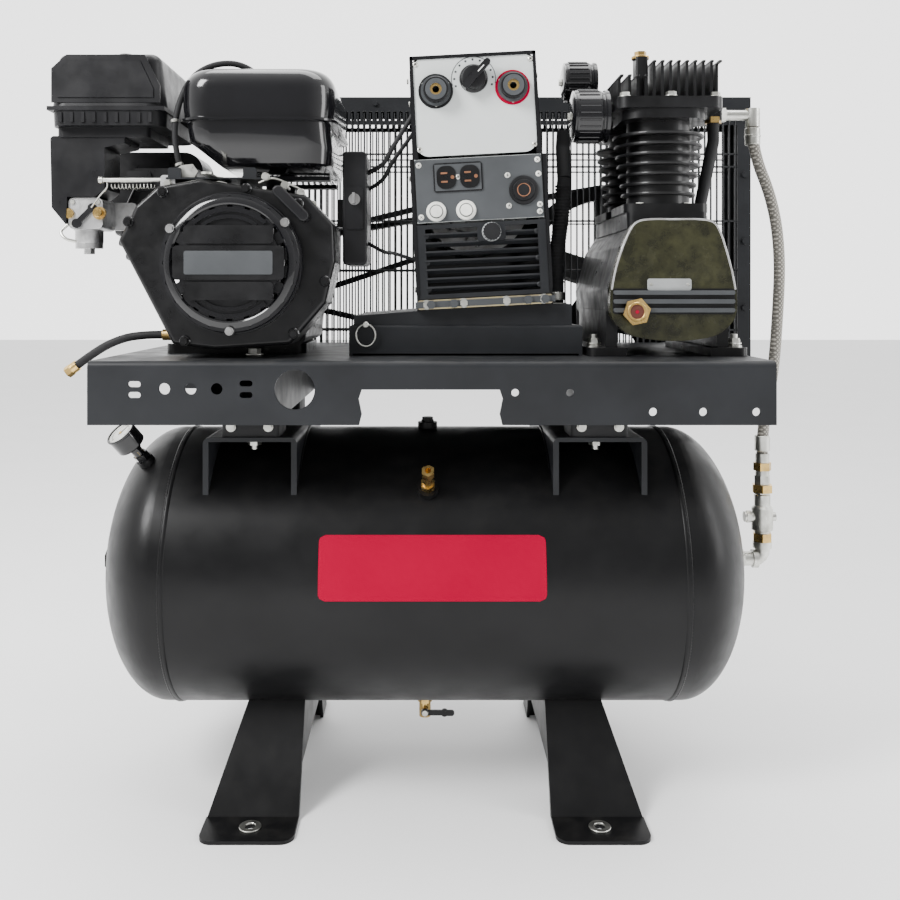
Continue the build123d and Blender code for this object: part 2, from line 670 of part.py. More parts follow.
# Recoil cover: ring, centre plate with raised bands, and the air slots round it
RECOIL_Y0 = -238.0
RECOIL_R = 94.0
with BuildPart() as recoil_cover:
    with BuildSketch(along_y(ENGINE_X, ENGINE_Z, RECOIL_Y0 + 12)):
        Circle(RECOIL_R)
        Circle(RECOIL_R - 4, mode=Mode.SUBTRACT)
    extrude(amount=SHROUD_Y0 - RECOIL_Y0 - 12)
    with BuildSketch(along_y(ENGINE_X, ENGINE_Z, RECOIL_Y0 + 12)):
        Circle(RECOIL_R - 3)
    extrude(amount=-6)
    with BuildSketch(along_y(ENGINE_X, ENGINE_Z, RECOIL_Y0 + 2)):
        with PolarLocations(79, 20):
            SlotOverall(19, 8, rotation=0)
    extrude(amount=12, mode=Mode.SUBTRACT)
    with BuildSketch(along_y(ENGINE_X, ENGINE_Z, RECOIL_Y0 + 7)):
        Circle(67)
        with Locations((0, 96), (0, -96)):
            Rectangle(160, 96, mode=Mode.SUBTRACT)
    extrude(amount=-7)
    with BuildSketch(along_y(ENGINE_X, ENGINE_Z, RECOIL_Y0)):
        for row in (-36, -20, 20, 36):
            with Locations((0, row)):
                Rectangle(116, 5)
    extrude(amount=3, mode=Mode.SUBTRACT)
recoil_cover.part.label = "recoil_cover"
export_step(recoil_cover.part, "parts/recoil_cover.step")

# The pull grip parks in a cup at the cover's upper right
GRIP_X, GRIP_Z = ENGINE_X + 79.0, ENGINE_Z + 79.0
with BuildPart() as recoil_grip:
    with BuildSketch(along_y(GRIP_X, GRIP_Z, SHROUD_Y0 - 1)):
        SlotOverall(62, 15, rotation=45)
    extrude(amount=-20)
    fillet(recoil_grip.edges(), 3)
recoil_grip.part.label = "recoil_grip"
export_step(recoil_grip.part, "parts/recoil_grip.step")

# ---------------------------------------------------------------- engine, upper parts

# Fuel tank: two pressed shells meeting at a flange
FUEL_X0, FUEL_X1 = -338.0, -122.0
FUEL_Y0, FUEL_Y1 = -200.0, 70.0
FUEL_Z0, FUEL_Z1, FUEL_SEAM_Z = 898.0, 1036.0, 962.0
FUEL_SKIN = 7.0
FUEL_MID_X = (FUEL_X0 + FUEL_X1) / 2
FUEL_MID_Y = (FUEL_Y0 + FUEL_Y1) / 2
CAP_X, CAP_Y = -230.0, -40.0
CAP_R = 30.0

with BuildPart() as fuel_tank:
    with BuildSketch(along_y(0, 0, FUEL_Y0 + 4)):
        with BuildLine():
            Polyline(
                (FUEL_X0 + 6, -FUEL_SEAM_Z), (FUEL_X0 + 6, -FUEL_Z1), (FUEL_X1 - 6, -FUEL_Z1),
                (FUEL_X1 - 6, -FUEL_Z0), (FUEL_X0 + 62, -FUEL_Z0), (FUEL_X0 + 6, -FUEL_Z0 - 44),
                (FUEL_X0 + 6, -FUEL_SEAM_Z),
            )
        make_face()
    extrude(amount=FUEL_Y1 - FUEL_Y0 - 8)
    fillet(fuel_tank.edges().filter_by(Axis.Z), 26)
    fillet(fuel_tank.faces().sort_by(Axis.Z)[-1].edges(), 20)
    with BuildSketch(Plane.XY.offset(FUEL_SEAM_Z - 3)):
        with Locations((FUEL_MID_X, FUEL_MID_Y)):
            RectangleRounded(FUEL_X1 - FUEL_X0, FUEL_Y1 - FUEL_Y0, 30)
    extrude(amount=5)
    with BuildSketch(Plane.XY.offset(FUEL_Z0 + FUEL_SKIN)):
        with Locations(((FUEL_X0 + 62 + FUEL_X1 - 6) / 2, FUEL_MID_Y)):
            RectangleRounded(
                FUEL_X1 - FUEL_X0 - 68 - 2 * FUEL_SKIN,
                FUEL_Y1 - FUEL_Y0 - 8 - 2 * FUEL_SKIN,
                20,
            )
    extrude(amount=FUEL_SEAM_Z - FUEL_Z0, mode=Mode.SUBTRACT)
    with BuildSketch(Plane.XY.offset(FUEL_Z0 + 50)):
        with Locations((FUEL_MID_X, FUEL_MID_Y)):
            RectangleRounded(
                FUEL_X1 - FUEL_X0 - 12 - 2 * FUEL_SKIN,
                FUEL_Y1 - FUEL_Y0 - 8 - 2 * FUEL_SKIN,
                20,
            )
    extrude(amount=FUEL_Z1 - FUEL_Z0 - 50 - 20, mode=Mode.SUBTRACT)
    with BuildSketch(Plane.XY.offset(FUEL_Z1 - 22)):
        with Locations((FUEL_MID_X, FUEL_MID_Y)):
            RectangleRounded(FUEL_X1 - FUEL_X0 - 50, FUEL_Y1 - FUEL_Y0 - 46, 16)
    extrude(amount=22 - FUEL_SKIN, mode=Mode.SUBTRACT)
    with BuildSketch(Plane.XY.offset(FUEL_Z1 - 6)):
        with Locations((CAP_X, CAP_Y)):
            Circle(24)
    extrude(amount=12)
    with BuildSketch(Plane.XY.offset(FUEL_Z1 - 8)):
        with Locations((CAP_X, CAP_Y)):
            Circle(20)
    extrude(amount=20, mode=Mode.SUBTRACT)
fuel_tank.part.label = "fuel_tank"
export_step(fuel_tank.part, "parts/fuel_tank.step")

with BuildPart() as fuel_cap:
    with BuildSketch(Plane.XY.offset(FUEL_Z1 + 6.3)):
        with Locations((CAP_X, CAP_Y)):
            Circle(CAP_R)
    extrude(amount=11)
    fillet(fuel_cap.faces().sort_by(Axis.Z)[-1].edges(), 4)
    with BuildSketch(Plane.XY.offset(FUEL_Z1 - 4)):
        with Locations((CAP_X, CAP_Y)):
            Circle(19.5)
    extrude(amount=12)
    with BuildSketch(Plane.XY.offset(FUEL_Z1 + 5)):
        with Locations((CAP_X, CAP_Y)):
            with PolarLocations(CAP_R, 10):
                Circle(3)
    extrude(amount=14, mode=Mode.SUBTRACT)
fuel_cap.part.label = "fuel_cap"
export_step(fuel_cap.part, "parts/fuel_cap.step")

# Straps that carry the fuel tank on the crankcase
with BuildPart() as fuel_tank_bracket:
    for y in (-80, 30):
        with BuildSketch(along_y(0, 0, y)):
            with BuildLine():
                Polyline(
                    (-250, -FUEL_Z0), (-140, -FUEL_Z0), (-140, -FUEL_Z0 + 6), (-206, -FUEL_Z0 + 6),
                    (-206, -858), (-232, -858), (-232, -FUEL_Z0 + 6), (-250, -FUEL_Z0 + 6), (-250, -FUEL_Z0),
                )
            make_face()
        extrude(amount=22)
    with BuildSketch(Plane.XY.offset(846)):
        with Locations((-219, -14)):
            Rectangle(26, 132)
    extrude(amount=12)
    add(engine_crankcase.part, mode=Mode.SUBTRACT)

# Air cleaner: base tray, cover, wing knob, and the silencer duct down to the carburettor
AIR_X0, AIR_X1 = -518.0, -362.0
AIR_Y0, AIR_Y1 = -168.0, 22.0
AIR_Z0, AIR_SPLIT_Z, AIR_Z1 = 958.0, 984.0, 1060.0
AIR_MID_X = (AIR_X0 + AIR_X1) / 2
AIR_MID_Y = (AIR_Y0 + AIR_Y1) / 2
KNOB_X, KNOB_Y = -432.0, -100.0

with BuildPart() as air_cleaner_tray:
    with BuildSketch(Plane.XY.offset(AIR_Z0)):
        with Locations((AIR_MID_X, AIR_MID_Y)):
            RectangleRounded(AIR_X1 - AIR_X0, AIR_Y1 - AIR_Y0, 22)
    extrude(amount=AIR_SPLIT_Z - AIR_Z0, taper=-3)
    with BuildSketch(Plane.XY.offset(AIR_Z0 + 4)):
        with Locations((AIR_MID_X, AIR_MID_Y)):
            RectangleRounded(AIR_X1 - AIR_X0 - 10, AIR_Y1 - AIR_Y0 - 10, 18)
    extrude(amount=AIR_SPLIT_Z, mode=Mode.SUBTRACT)
    with BuildSketch(Plane.XY.offset(AIR_Z0 + 4)):
        with Locations((KNOB_X, KNOB_Y)):
            Circle(6)
    extrude(amount=AIR_Z1 - AIR_Z0 - 14)

with BuildPart() as air_cleaner_cover:
    with BuildSketch(Plane.XY.offset(AIR_SPLIT_Z + 0.3)):
        with Locations((AIR_MID_X, AIR_MID_Y)):
            RectangleRounded(AIR_X1 - AIR_X0 + 4, AIR_Y1 - AIR_Y0 + 4, 24)
    extrude(amount=AIR_Z1 - AIR_SPLIT_Z - 0.3, taper=7)
    fillet(air_cleaner_cover.faces().sort_by(Axis.Z)[-1].edges(), 14)
    offset(amount=-3, openings=air_cleaner_cover.faces().sort_by(Axis.Z)[0], kind=Kind.INTERSECTION)
    with BuildSketch(Plane.XY.offset(AIR_Z1 - 5)):
        with Locations((KNOB_X, KNOB_Y)):
            Circle(8)
    extrude(amount=10, mode=Mode.SUBTRACT)
air_cleaner_cover.part.label = "air_cleaner_cover"
export_step(air_cleaner_cover.part, "parts/air_cleaner_cover.step")

with BuildPart() as air_filter_element:
    with BuildSketch(Plane.XY.offset(AIR_Z0 + 6)):
        with Locations((AIR_MID_X, AIR_MID_Y)):
            SlotOverall(150, 104, rotation=90)
            SlotOverall(120, 74, rotation=90, mode=Mode.SUBTRACT)
    extrude(amount=84)

with BuildPart() as air_cleaner_knob:
    with BuildSketch(Plane.XY.offset(AIR_Z1 + 0.3)):
        with Locations((KNOB_X, KNOB_Y)):
            Circle(12)
    extrude(amount=4)
    with BuildSketch(Plane.XY.offset(AIR_Z1 + 4.3)):
        with Locations((KNOB_X, KNOB_Y)):
            SlotOverall(40, 9)
    extrude(amount=7)
    with BuildSketch(Plane.XY.offset(AIR_Z1 - 9)):
        with Locations((KNOB_X, KNOB_Y)):
            Circle(6)
    extrude(amount=10)
air_cleaner_knob.part.label = "air_cleaner_knob"
export_step(air_cleaner_knob.part, "parts/air_cleaner_knob.step")

with BuildPart() as intake_duct:
    with BuildSketch(along_y(0, 0, -150)):
        with BuildLine():
            Polyline(
                (-524, -946), (-420, -946), (-420, -936), (-448, -930), (-448, -872),
                (-462, -861), (-500.5, -861), (-502, -822), (-522, -846), (-524, -946),
            )
        make_face()
    extrude(amount=70)
    fillet(intake_duct.edges().filter_by(Axis.Y).group_by(Axis.X)[0], 5)
    with BuildSketch(Plane.XY.offset(944)):
        with Locations((-450, -96)):
            RectangleRounded(130, 112, 10)
    extrude(amount=14)
air_cleaner_base = Compound(
    label="air_cleaner_base",
    children=[
        air_cleaner_tray.part,
        air_filter_element.part,
        intake_duct.part,
    ],
)
export_step(air_cleaner_base, "parts/air_cleaner_base.step")

# Carburettor and its float bowl, between the duct and the cylinder head
CARB_X, CARB_Z = -476.0, 838.0
BOWL_Y = -118.0
with BuildPart() as carburettor:
    with BuildSketch(along_y(CARB_X, CARB_Z, -146)):
        RectangleRounded(48, 44, 8)
    extrude(amount=60)
    with BuildSketch(along_y(CARB_X + 24, CARB_Z, -90)):
        RectangleRounded(64, 40, 8)
    extrude(amount=12)
    with BuildSketch(Plane.XY.offset(CARB_Z - 20)):
        with Locations((CARB_X - 4, BOWL_Y)):
            Circle(19)
    extrude(amount=-28)
    with BuildSketch(Plane.XY.offset(CARB_Z - 48)):
        with Locations((CARB_X - 4, BOWL_Y)):
            RegularPolygon(8, 6)
    extrude(amount=-8)
carburettor.part.label = "carburettor"
export_step(carburettor.part, "parts/carburettor.step")

CHOKE_X, CHOKE_Z = -466.0, 846.0
with BuildPart() as choke_lever:
    with BuildSketch(along_y(CHOKE_X, CHOKE_Z, -149.4)):
        Circle(6)
        with Locations((-12, 12)):
            Rectangle(34, 7, rotation=-45)
        with Locations((-22, 22)):
            Circle(6.5)
    extrude(amount=3)
choke_lever.part.label = "choke_lever"
export_step(choke_lever.part, "parts/choke_lever.step")

# Throttle control on top of the shroud: plate, lever and the governor rod
with BuildPart() as governor_plate:
    with BuildSketch(Plane.XY.offset(881)):
        with BuildLine():
            Polyline((-352, -190), (-210, -190), (-196, -150), (-206, -96), (-352, -96), (-352, -190))
        make_face()
    extrude(amount=2.5)
    for x in (-340, -238):
        with BuildSketch(along_y(x, 889, -190)):
            RectangleRounded(18, 15.5, 3)
        extrude(amount=4)
    with BuildSketch(Plane.XY.offset(862)):
        with Locations((-285, -104), (-262, -104)):
            Circle(5)
    extrude(amount=19)
    add(engine_crankcase.part, mode=Mode.SUBTRACT)

THROTTLE_X, THROTTLE_Y = -290.0, -160.0
with BuildPart() as throttle_lever:
    with BuildSketch(Plane.XY.offset(884)):
        with Locations((THROTTLE_X, THROTTLE_Y)):
            Circle(11)
        with Locations((THROTTLE_X, THROTTLE_Y - 28)):
            Rectangle(9, 56)
        with Locations((THROTTLE_X, THROTTLE_Y - 56)):
            Circle(8)
    extrude(amount=3)
throttle_lever.part.label = "throttle_lever"
export_step(throttle_lever.part, "parts/throttle_lever.step")

with BuildPart() as governor_rod:
    with BuildSketch(facing((-436, -176, 880), (1, 0, 0.03))):
        Circle(3)
    extrude(amount=84)
engine_brackets = Compound(
    label="engine_brackets",
    children=[
        fuel_tank_bracket.part,
        governor_plate.part,
        governor_rod.part,
    ],
)
export_step(engine_brackets, "parts/engine_brackets.step")

# Silencer, behind the air cleaner on the shaft side
with BuildPart() as exhaust_silencer:
    with BuildSketch(along_y(-436, 900, 72)):
        RectangleRounded(150, 110, 30)
    extrude(amount=96)
    fillet(exhaust_silencer.edges().group_by(Axis.Y)[-1], 12)
    with BuildSketch(along_y(-436, 900, 168)):
        with Locations((30, 24)):
            Circle(13)
    extrude(amount=16)
    with BuildSketch(along_y(-436, 900, 120)):
        with Locations((30, 24)):
            Circle(10)
    extrude(amount=70, mode=Mode.SUBTRACT)
    with BuildSketch(along_y(-400, 880, 72)):
        Circle(16)
    extrude(amount=-3.5)
exhaust_silencer.part.label = "exhaust_silencer"
export_step(exhaust_silencer.part, "parts/exhaust_silencer.step")

# Control box on the engine's right, with its key switch
BOX_X0, BOX_X1 = -116.0, -82.0
with BuildPart() as control_box:
    with BuildSketch(along_y((BOX_X0 + BOX_X1) / 2, 846, -142)):
        RectangleRounded(BOX_X1 - BOX_X0, 160, 6)
    extrude(amount=96)
    fillet(control_box.edges().group_by(Axis.Y)[0], 3)
    with BuildSketch(along_y((BOX_X0 + BOX_X1) / 2, 846, -144)):
        RectangleRounded(24, 60, 4)
    extrude(amount=4)
    with BuildSketch(along_y(BOX_X0 - 4, 842, -100)):
        Rectangle(14, 40)
    extrude(amount=30)
control_box.part.label = "control_box"
export_step(control_box.part, "parts/control_box.step")

KEY_X, KEY_Z = -99.0, 858.0
with BuildPart() as ignition_key:
    with BuildSketch(along_y(KEY_X, KEY_Z, -144.3)):
        Circle(8)
    extrude(amount=-4)
    with BuildSketch(along_y(KEY_X, KEY_Z, -148)):
        Rectangle(3.5, 15)
    extrude(amount=-18)
ignition_key.part.label = "ignition_key"
export_step(ignition_key.part, "parts/ignition_key.step")

# Oil filler with its dipstick, low on the crankcase at the front left
DIP_Y, DIP_Z = -70.0, 690.0
with BuildPart() as oil_dipstick:
    with BuildSketch(facing((ENGINE_X - 92.3, DIP_Y, DIP_Z), (-1, 0, 0))):
        Circle(14)
    extrude(amount=10)
    with BuildSketch(facing((ENGINE_X - 102.3, DIP_Y, DIP_Z), (-1, 0, 0))):
        SlotOverall(30, 8)
    extrude(amount=12)
oil_dipstick.part.label = "oil_dipstick"
export_step(oil_dipstick.part, "parts/oil_dipstick.step")

# ---------------------------------------------------------------- welder and generator

GEN_ROLL = 3.0
GEN_Y0, GEN_Y1 = -140.0, 96.0
GEN_Z0 = 706.0
GEN_FOOT = Vector(GEN_X + 8, 0, GEN_Z0)
PANEL_SPLIT = 213.0
PANEL_THICK = 4.0


def gen_plane(y, up=0.0, across=0.0):
    """Plane facing the operator on the rolled welder, up and across from the middle of its foot."""
    roll = math.radians(GEN_ROLL)
    side = Vector(math.cos(roll), 0, math.sin(roll))
    rise = Vector(-math.sin(roll), 0, math.cos(roll))
    origin = GEN_FOOT + side * across + rise * up + Vector(0, y, 0)
    return Plane(origin=origin, x_dir=side, z_dir=(0, -1, 0))


GEN_WIDE, GEN_TOP_WIDE, GEN_TALL = 192.0, 178.0, 358.0
SHAFT_R = 14.0
gen_shaft = Vector(GEN_X, 0, GEN_Z)


def casing_outline(inset):
    """Corners of the welder's casing seen from the front, pulled in by inset."""
    half = GEN_WIDE / 2 - inset
    top_half = GEN_TOP_WIDE / 2 - inset
    return [(-half, inset), (half, inset), (top_half, GEN_TALL - inset), (-top_half, GEN_TALL - inset)]


with BuildPart() as welder_casing:
    with BuildSketch(gen_plane(GEN_Y0)):
        with BuildLine():
            Polyline(casing_outline(0), close=True)
        make_face()
    extrude(amount=GEN_Y0 - GEN_Y1)
    fillet(welder_casing.edges().filter_by(Axis.Y).group_by(Axis.Z)[-1], 22)
    fillet(welder_casing.edges().filter_by(Axis.Y).group_by(Axis.Z)[-2], 22)
    with BuildSketch(gen_plane(GEN_Y0 + PANEL_THICK)):
        with BuildLine():
            Polyline(casing_outline(PANEL_THICK), close=True)
        make_face()
    extrude(amount=GEN_Y0 - GEN_Y1 + PANEL_THICK + 4, mode=Mode.SUBTRACT)
    with BuildSketch(gen_plane(GEN_Y0 - 1)):
        with Locations((0, GEN_TALL / 2)):
            RectangleRounded(GEN_TOP_WIDE - 12, GEN_TALL - 34, 14)
    extrude(amount=-PANEL_THICK - 2, mode=Mode.SUBTRACT)
    with BuildSketch(along_y(gen_shaft.X, gen_shaft.Z, GEN_Y1 - 6)):
        Circle(60)
    extrude(amount=10, mode=Mode.SUBTRACT)
welder_casing.part.label = "welder_casing"
export_step(welder_casing.part, "parts/welder_casing.step")

# Front panels, screwed on the casing's face
with BuildPart() as control_panel:
    with BuildSketch(gen_plane(GEN_Y0)):
        with Locations((0, (PANEL_SPLIT + GEN_TALL) / 2)):
            RectangleRounded(GEN_TOP_WIDE - 8, GEN_TALL - PANEL_SPLIT - 6, 18)
        for across in (-54, 54):
            with Locations((across, 307)):
                Circle(15.2, mode=Mode.SUBTRACT)
        with Locations((0, 322)):
            Circle(5.2, mode=Mode.SUBTRACT)
    extrude(amount=3)

BREAKERS = (-62.0, -20.0)
BREAKER_UP = 138.0
RHEOSTAT_ACROSS, RHEOSTAT_UP = 14.0, 106.0
with BuildPart() as outlet_panel:
    with BuildSketch(gen_plane(GEN_Y0)):
        with Locations((0, (PANEL_SPLIT + 122) / 2)):
            Rectangle(GEN_WIDE - 14, PANEL_SPLIT - 122 - 2)
        for across in BREAKERS:
            with Locations((across, BREAKER_UP)):
                Circle(8.4, mode=Mode.SUBTRACT)
        with Locations((-29, 185)):
            Rectangle(66, 38, mode=Mode.SUBTRACT)
        with Locations((62, 162)):
            Circle(18.2, mode=Mode.SUBTRACT)
    extrude(amount=3)
front_panels = Compound(label="front_panels", children=[control_panel.part, outlet_panel.part])
export_step(front_panels, "parts/front_panels.step")

# Louvred grille below the outlets
LOUVRES = 7
with BuildPart() as louvre_grille:
    with BuildSketch(gen_plane(GEN_Y0)):
        with Locations((0, 68)):
            Rectangle(GEN_WIDE - 10, 104)
            Rectangle(GEN_WIDE - 34, 92, mode=Mode.SUBTRACT)
        with Locations((RHEOSTAT_ACROSS, RHEOSTAT_UP)):
            RectangleRounded(40, 24, 4)
            Circle(5.2, mode=Mode.SUBTRACT)
    extrude(amount=3)
    for row in range(LOUVRES):
        slat = gen_plane(GEN_Y0 + 3, 29 + 12.5 * row)
        with BuildSketch(slat.rotated((-28, 0, 0))):
            Rectangle(GEN_WIDE - 30, 3.0)
        extrude(amount=5, both=True)
    with BuildSketch(gen_plane(GEN_Y0 - 40)):
        with Locations((RHEOSTAT_ACROSS, RHEOSTAT_UP)):
            Circle(5.2)
    extrude(amount=-80, mode=Mode.SUBTRACT)
louvre_grille.part.label = "louvre_grille"
export_step(louvre_grille.part, "parts/louvre_grille.step")

with BuildPart() as welder_rail:
    with BuildSketch(gen_plane(GEN_Y0 - 3, 8)):
        Rectangle(GEN_WIDE + 4, 9)
    extrude(amount=5)
    for across in (-76, -44, 60, 84):
        with BuildSketch(gen_plane(GEN_Y0 - 8, 8, across)):
            RegularPolygon(6.5, 6)
        extrude(amount=5)

# Output sockets: keyed sleeves with brass cores
with BuildPart() as weld_sockets:
    for across in (-54, 54):
        with BuildSketch(gen_plane(GEN_Y0 + 4, 307, across)):
            Circle(14.9)
            Circle(8.2, mode=Mode.SUBTRACT)
        extrude(amount=26)
        with BuildSketch(gen_plane(GEN_Y0 - 3.2, 307, across)):
            Circle(21)
            Circle(15.2, mode=Mode.SUBTRACT)
        extrude(amount=8)

with BuildPart() as weld_socket_cores:
    for across in (-54, 54):
        with BuildSketch(gen_plane(GEN_Y0 + 10, 307, across)):
            Circle(8)
            Circle(4.6, mode=Mode.SUBTRACT)
        extrude(amount=28)
        with BuildSketch(gen_plane(GEN_Y0 + 20, 307, across)):
            Circle(14)
        extrude(amount=10)

with BuildPart() as current_selector:
    with BuildSketch(gen_plane(GEN_Y0 - 3.4, 322)):
        Circle(17)
    extrude(amount=11)
    with BuildSketch(gen_plane(GEN_Y0 - 14.4, 322)):
        with Locations((6, 6)):
            SlotOverall(46, 9, rotation=45)
    extrude(amount=9)
    with BuildSketch(gen_plane(GEN_Y0 + 12, 322)):
        Circle(5)
    extrude(amount=16)
current_selector.part.label = "current_selector"
export_step(current_selector.part, "parts/current_selector.step")

# Duplex outlet, in its cut-out, with blade slots
with BuildPart() as duplex_outlet:
    with BuildSketch(gen_plane(GEN_Y0 + 8, 185, -29)):
        Rectangle(65, 37)
    extrude(amount=14)
    for across in (-17, 17):
        for slot_across, slot_up, wide, tall in ((-6, 3, 2.2, 8), (6, 3, 2.2, 8), (0, -9, 5, 5)):
            with BuildSketch(gen_plane(GEN_Y0 - 7, 185 + slot_up, -29 + across + slot_across)):
                Rectangle(wide, tall)
            extrude(amount=-10, mode=Mode.SUBTRACT)

with BuildPart() as locking_outlet:
    with BuildSketch(gen_plane(GEN_Y0 + 8, 162, 62)):
        Circle(18)
    extrude(amount=14)
    with BuildSketch(gen_plane(GEN_Y0 - 7, 162, 62)):
        Circle(14)
        Circle(11, mode=Mode.SUBTRACT)
        with PolarLocations(6, 3):
            SlotOverall(7, 2.4, rotation=90, mode=Mode.ADD)
    extrude(amount=-9, mode=Mode.SUBTRACT)


def breaker(across):
    """Push-to-reset breaker button."""
    with BuildPart() as one:
        with BuildSketch(gen_plane(GEN_Y0 + 14, BREAKER_UP, across)):
            Circle(8)
        extrude(amount=26)
    return one.part


breaker_left = breaker(BREAKERS[0])
breaker_left.label = "breaker_left"
export_step(breaker_left, "parts/breaker_left.step")
breaker_right = breaker(BREAKERS[1])
breaker_right.label = "breaker_right"
export_step(breaker_right, "parts/breaker_right.step")

with BuildPart() as breaker_collars:
    for across in BREAKERS:
        with BuildSketch(gen_plane(GEN_Y0 - 3, BREAKER_UP, across)):
            Circle(13)
            Circle(8.4, mode=Mode.SUBTRACT)
        extrude(amount=4)
panel_fittings = Compound(
    label="panel_fittings",
    children=[
        welder_rail.part,
        weld_sockets.part,
        weld_socket_cores.part,
        duplex_outlet.part,
        locking_outlet.part,
        breaker_collars.part,
    ],
)
export_step(panel_fittings, "parts/panel_fittings.step")

with BuildPart() as output_dial:
    with BuildSketch(gen_plane(GEN_Y0 - 4, RHEOSTAT_UP, RHEOSTAT_ACROSS)):
        Circle(12)
    extrude(amount=14)
    with BuildSketch(gen_plane(GEN_Y0 + 12, RHEOSTAT_UP, RHEOSTAT_ACROSS)):
        Circle(5)
    extrude(amount=16)
output_dial.part.label = "output_dial"
export_step(output_dial.part, "parts/output_dial.step")

# Stator ring in the casing, rotor on its shaft, fan and pulley behind
GEN_CORE_Y0, GEN_CORE_Y1 = -60.0, 40.0
with BuildPart() as stator_core:
    with BuildSketch(along_y(GEN_X, GEN_Z, GEN_CORE_Y0)):
        Circle(78)
        Circle(52, mode=Mode.SUBTRACT)
        with PolarLocations(54, 24):
            Rectangle(12, 6, mode=Mode.SUBTRACT)
    extrude(amount=GEN_CORE_Y1 - GEN_CORE_Y0)

# Slide base: box on the deck, and the tilted plate the generator is bolted to
BASE_X0, BASE_X1 = -107.0, 222.0
BASE_Y0, BASE_Y1 = -138.0, 176.0
BASE_Z1 = 681.0
with BuildPart() as slide_base:
    with BuildSketch(Plane.XY.offset(DECK_Z)):
        with Locations(((BASE_X0 + BASE_X1) / 2, (BASE_Y0 + BASE_Y1) / 2)):
            Rectangle(BASE_X1 - BASE_X0, BASE_Y1 - BASE_Y0)
    extrude(amount=BASE_Z1 - DECK_Z)
    fillet(slide_base.edges().group_by(Axis.Z)[-1], 4)
    with BuildSketch(along_y(0, 0, BASE_Y0 - 1)):
        with Locations(((BASE_X0 + BASE_X1) / 2, -DECK_Z - 17)):
            Rectangle(BASE_X1 - BASE_X0 - 10, 44)
    extrude(amount=BASE_Y1 - BASE_Y0 - 4, mode=Mode.SUBTRACT)
    with BuildSketch(along_y(0, 0, BASE_Y0)):
        with Locations(((BASE_X0 + BASE_X1) / 2, -(DECK_Z + BASE_Z1) / 2)):
            Rectangle(BASE_X1 - BASE_X0, BASE_Z1 - DECK_Z - 6)
    extrude(amount=4)

with BuildPart() as slide_plate:
    with BuildSketch(along_y(0, 0, BASE_Y0 + 6)):
        with BuildLine():
            Polyline(
                (BASE_X0 + 6, -BASE_Z1), (BASE_X1 - 14, -BASE_Z1), (BASE_X1 - 14, -711),
                (GEN_X + 102, -710.8), (GEN_X - 92, -700.6), (BASE_X0 + 6, -694),
                (BASE_X0 + 6, -BASE_Z1),
            )
        make_face()
    extrude(amount=BASE_Y1 - BASE_Y0 - 12)
generator_slide = Compound(label="generator_slide", children=[slide_base.part, slide_plate.part])
export_step(generator_slide, "parts/generator_slide.step")

# End bell: bearing housing behind the casing, held to the slide base by its foot
with BuildPart() as generator_end_bell:
    with BuildSketch(along_y(GEN_X, GEN_Z, GEN_Y1 + 0.5)):
        Circle(88)
        Circle(60, mode=Mode.SUBTRACT)
    extrude(amount=60)
    with BuildSketch(along_y(GEN_X, GEN_Z, GEN_Y1 + 60.5)):
        Circle(88)
        Circle(SHAFT_R + RUN_GAP, mode=Mode.SUBTRACT)
        with PolarLocations(56, 8):
            SlotOverall(34, 12, rotation=90, mode=Mode.SUBTRACT)
    extrude(amount=12)
    with BuildSketch(along_y(GEN_X, GEN_Z, GEN_Y1 + 0.5)):
        with Locations((0, 108)):
            Rectangle(110, 114)
        Circle(70, mode=Mode.SUBTRACT)
    extrude(amount=60)
    add(slide_plate.part, mode=Mode.SUBTRACT)
generator_stator = Compound(label="generator_stator", children=[stator_core.part, generator_end_bell.part])
export_step(generator_stator, "parts/generator_stator.step")

with BuildPart() as generator_rotor:
    with BuildSketch(along_y(GEN_X, GEN_Z, GEN_CORE_Y0 - 20)):
        Circle(SHAFT_R)
    extrude(amount=GEN_BELT_Y + 11 - GEN_CORE_Y0 + 20)
    with BuildSketch(along_y(GEN_X, GEN_Z, GEN_CORE_Y0)):
        Circle(47.5)
    extrude(amount=GEN_CORE_Y1 - GEN_CORE_Y0)
    with BuildSketch(along_y(GEN_X, GEN_Z, GEN_Y1 + 14)):
        Circle(24)
        with PolarLocations(36, 10):
            Rectangle(36, 3, rotation=18)
    extrude(amount=22)
generator_rotor.part.label = "generator_rotor"
export_step(generator_rotor.part, "parts/generator_rotor.step")

# ---------------------------------------------------------------- pump

PUMP_Y0, PUMP_Y1 = -168.0, 120.0
COVER_Y0 = -190.0
CYL_YS = (-88.0, 52.0)
PUMP_TOP = 827.0
CYL_BASE_Z = 840.0
HEAD_Z = 986.0
PUMP_BORE_R = 37.5
JOURNAL_R = 17.0
PUMP_OUTLINE = (
    (-48, 76), (52, 76), (70, 39), (84, -21), (84, -51), (60, -83),
    (0, -91), (-60, -83), (-86, -51), (-88, -21), (-72, 39),
)


def pump_profile():
    """Corners of the crankcase seen from the front, about the shaft."""
    return [(x, -z) for x, z in PUMP_OUTLINE]


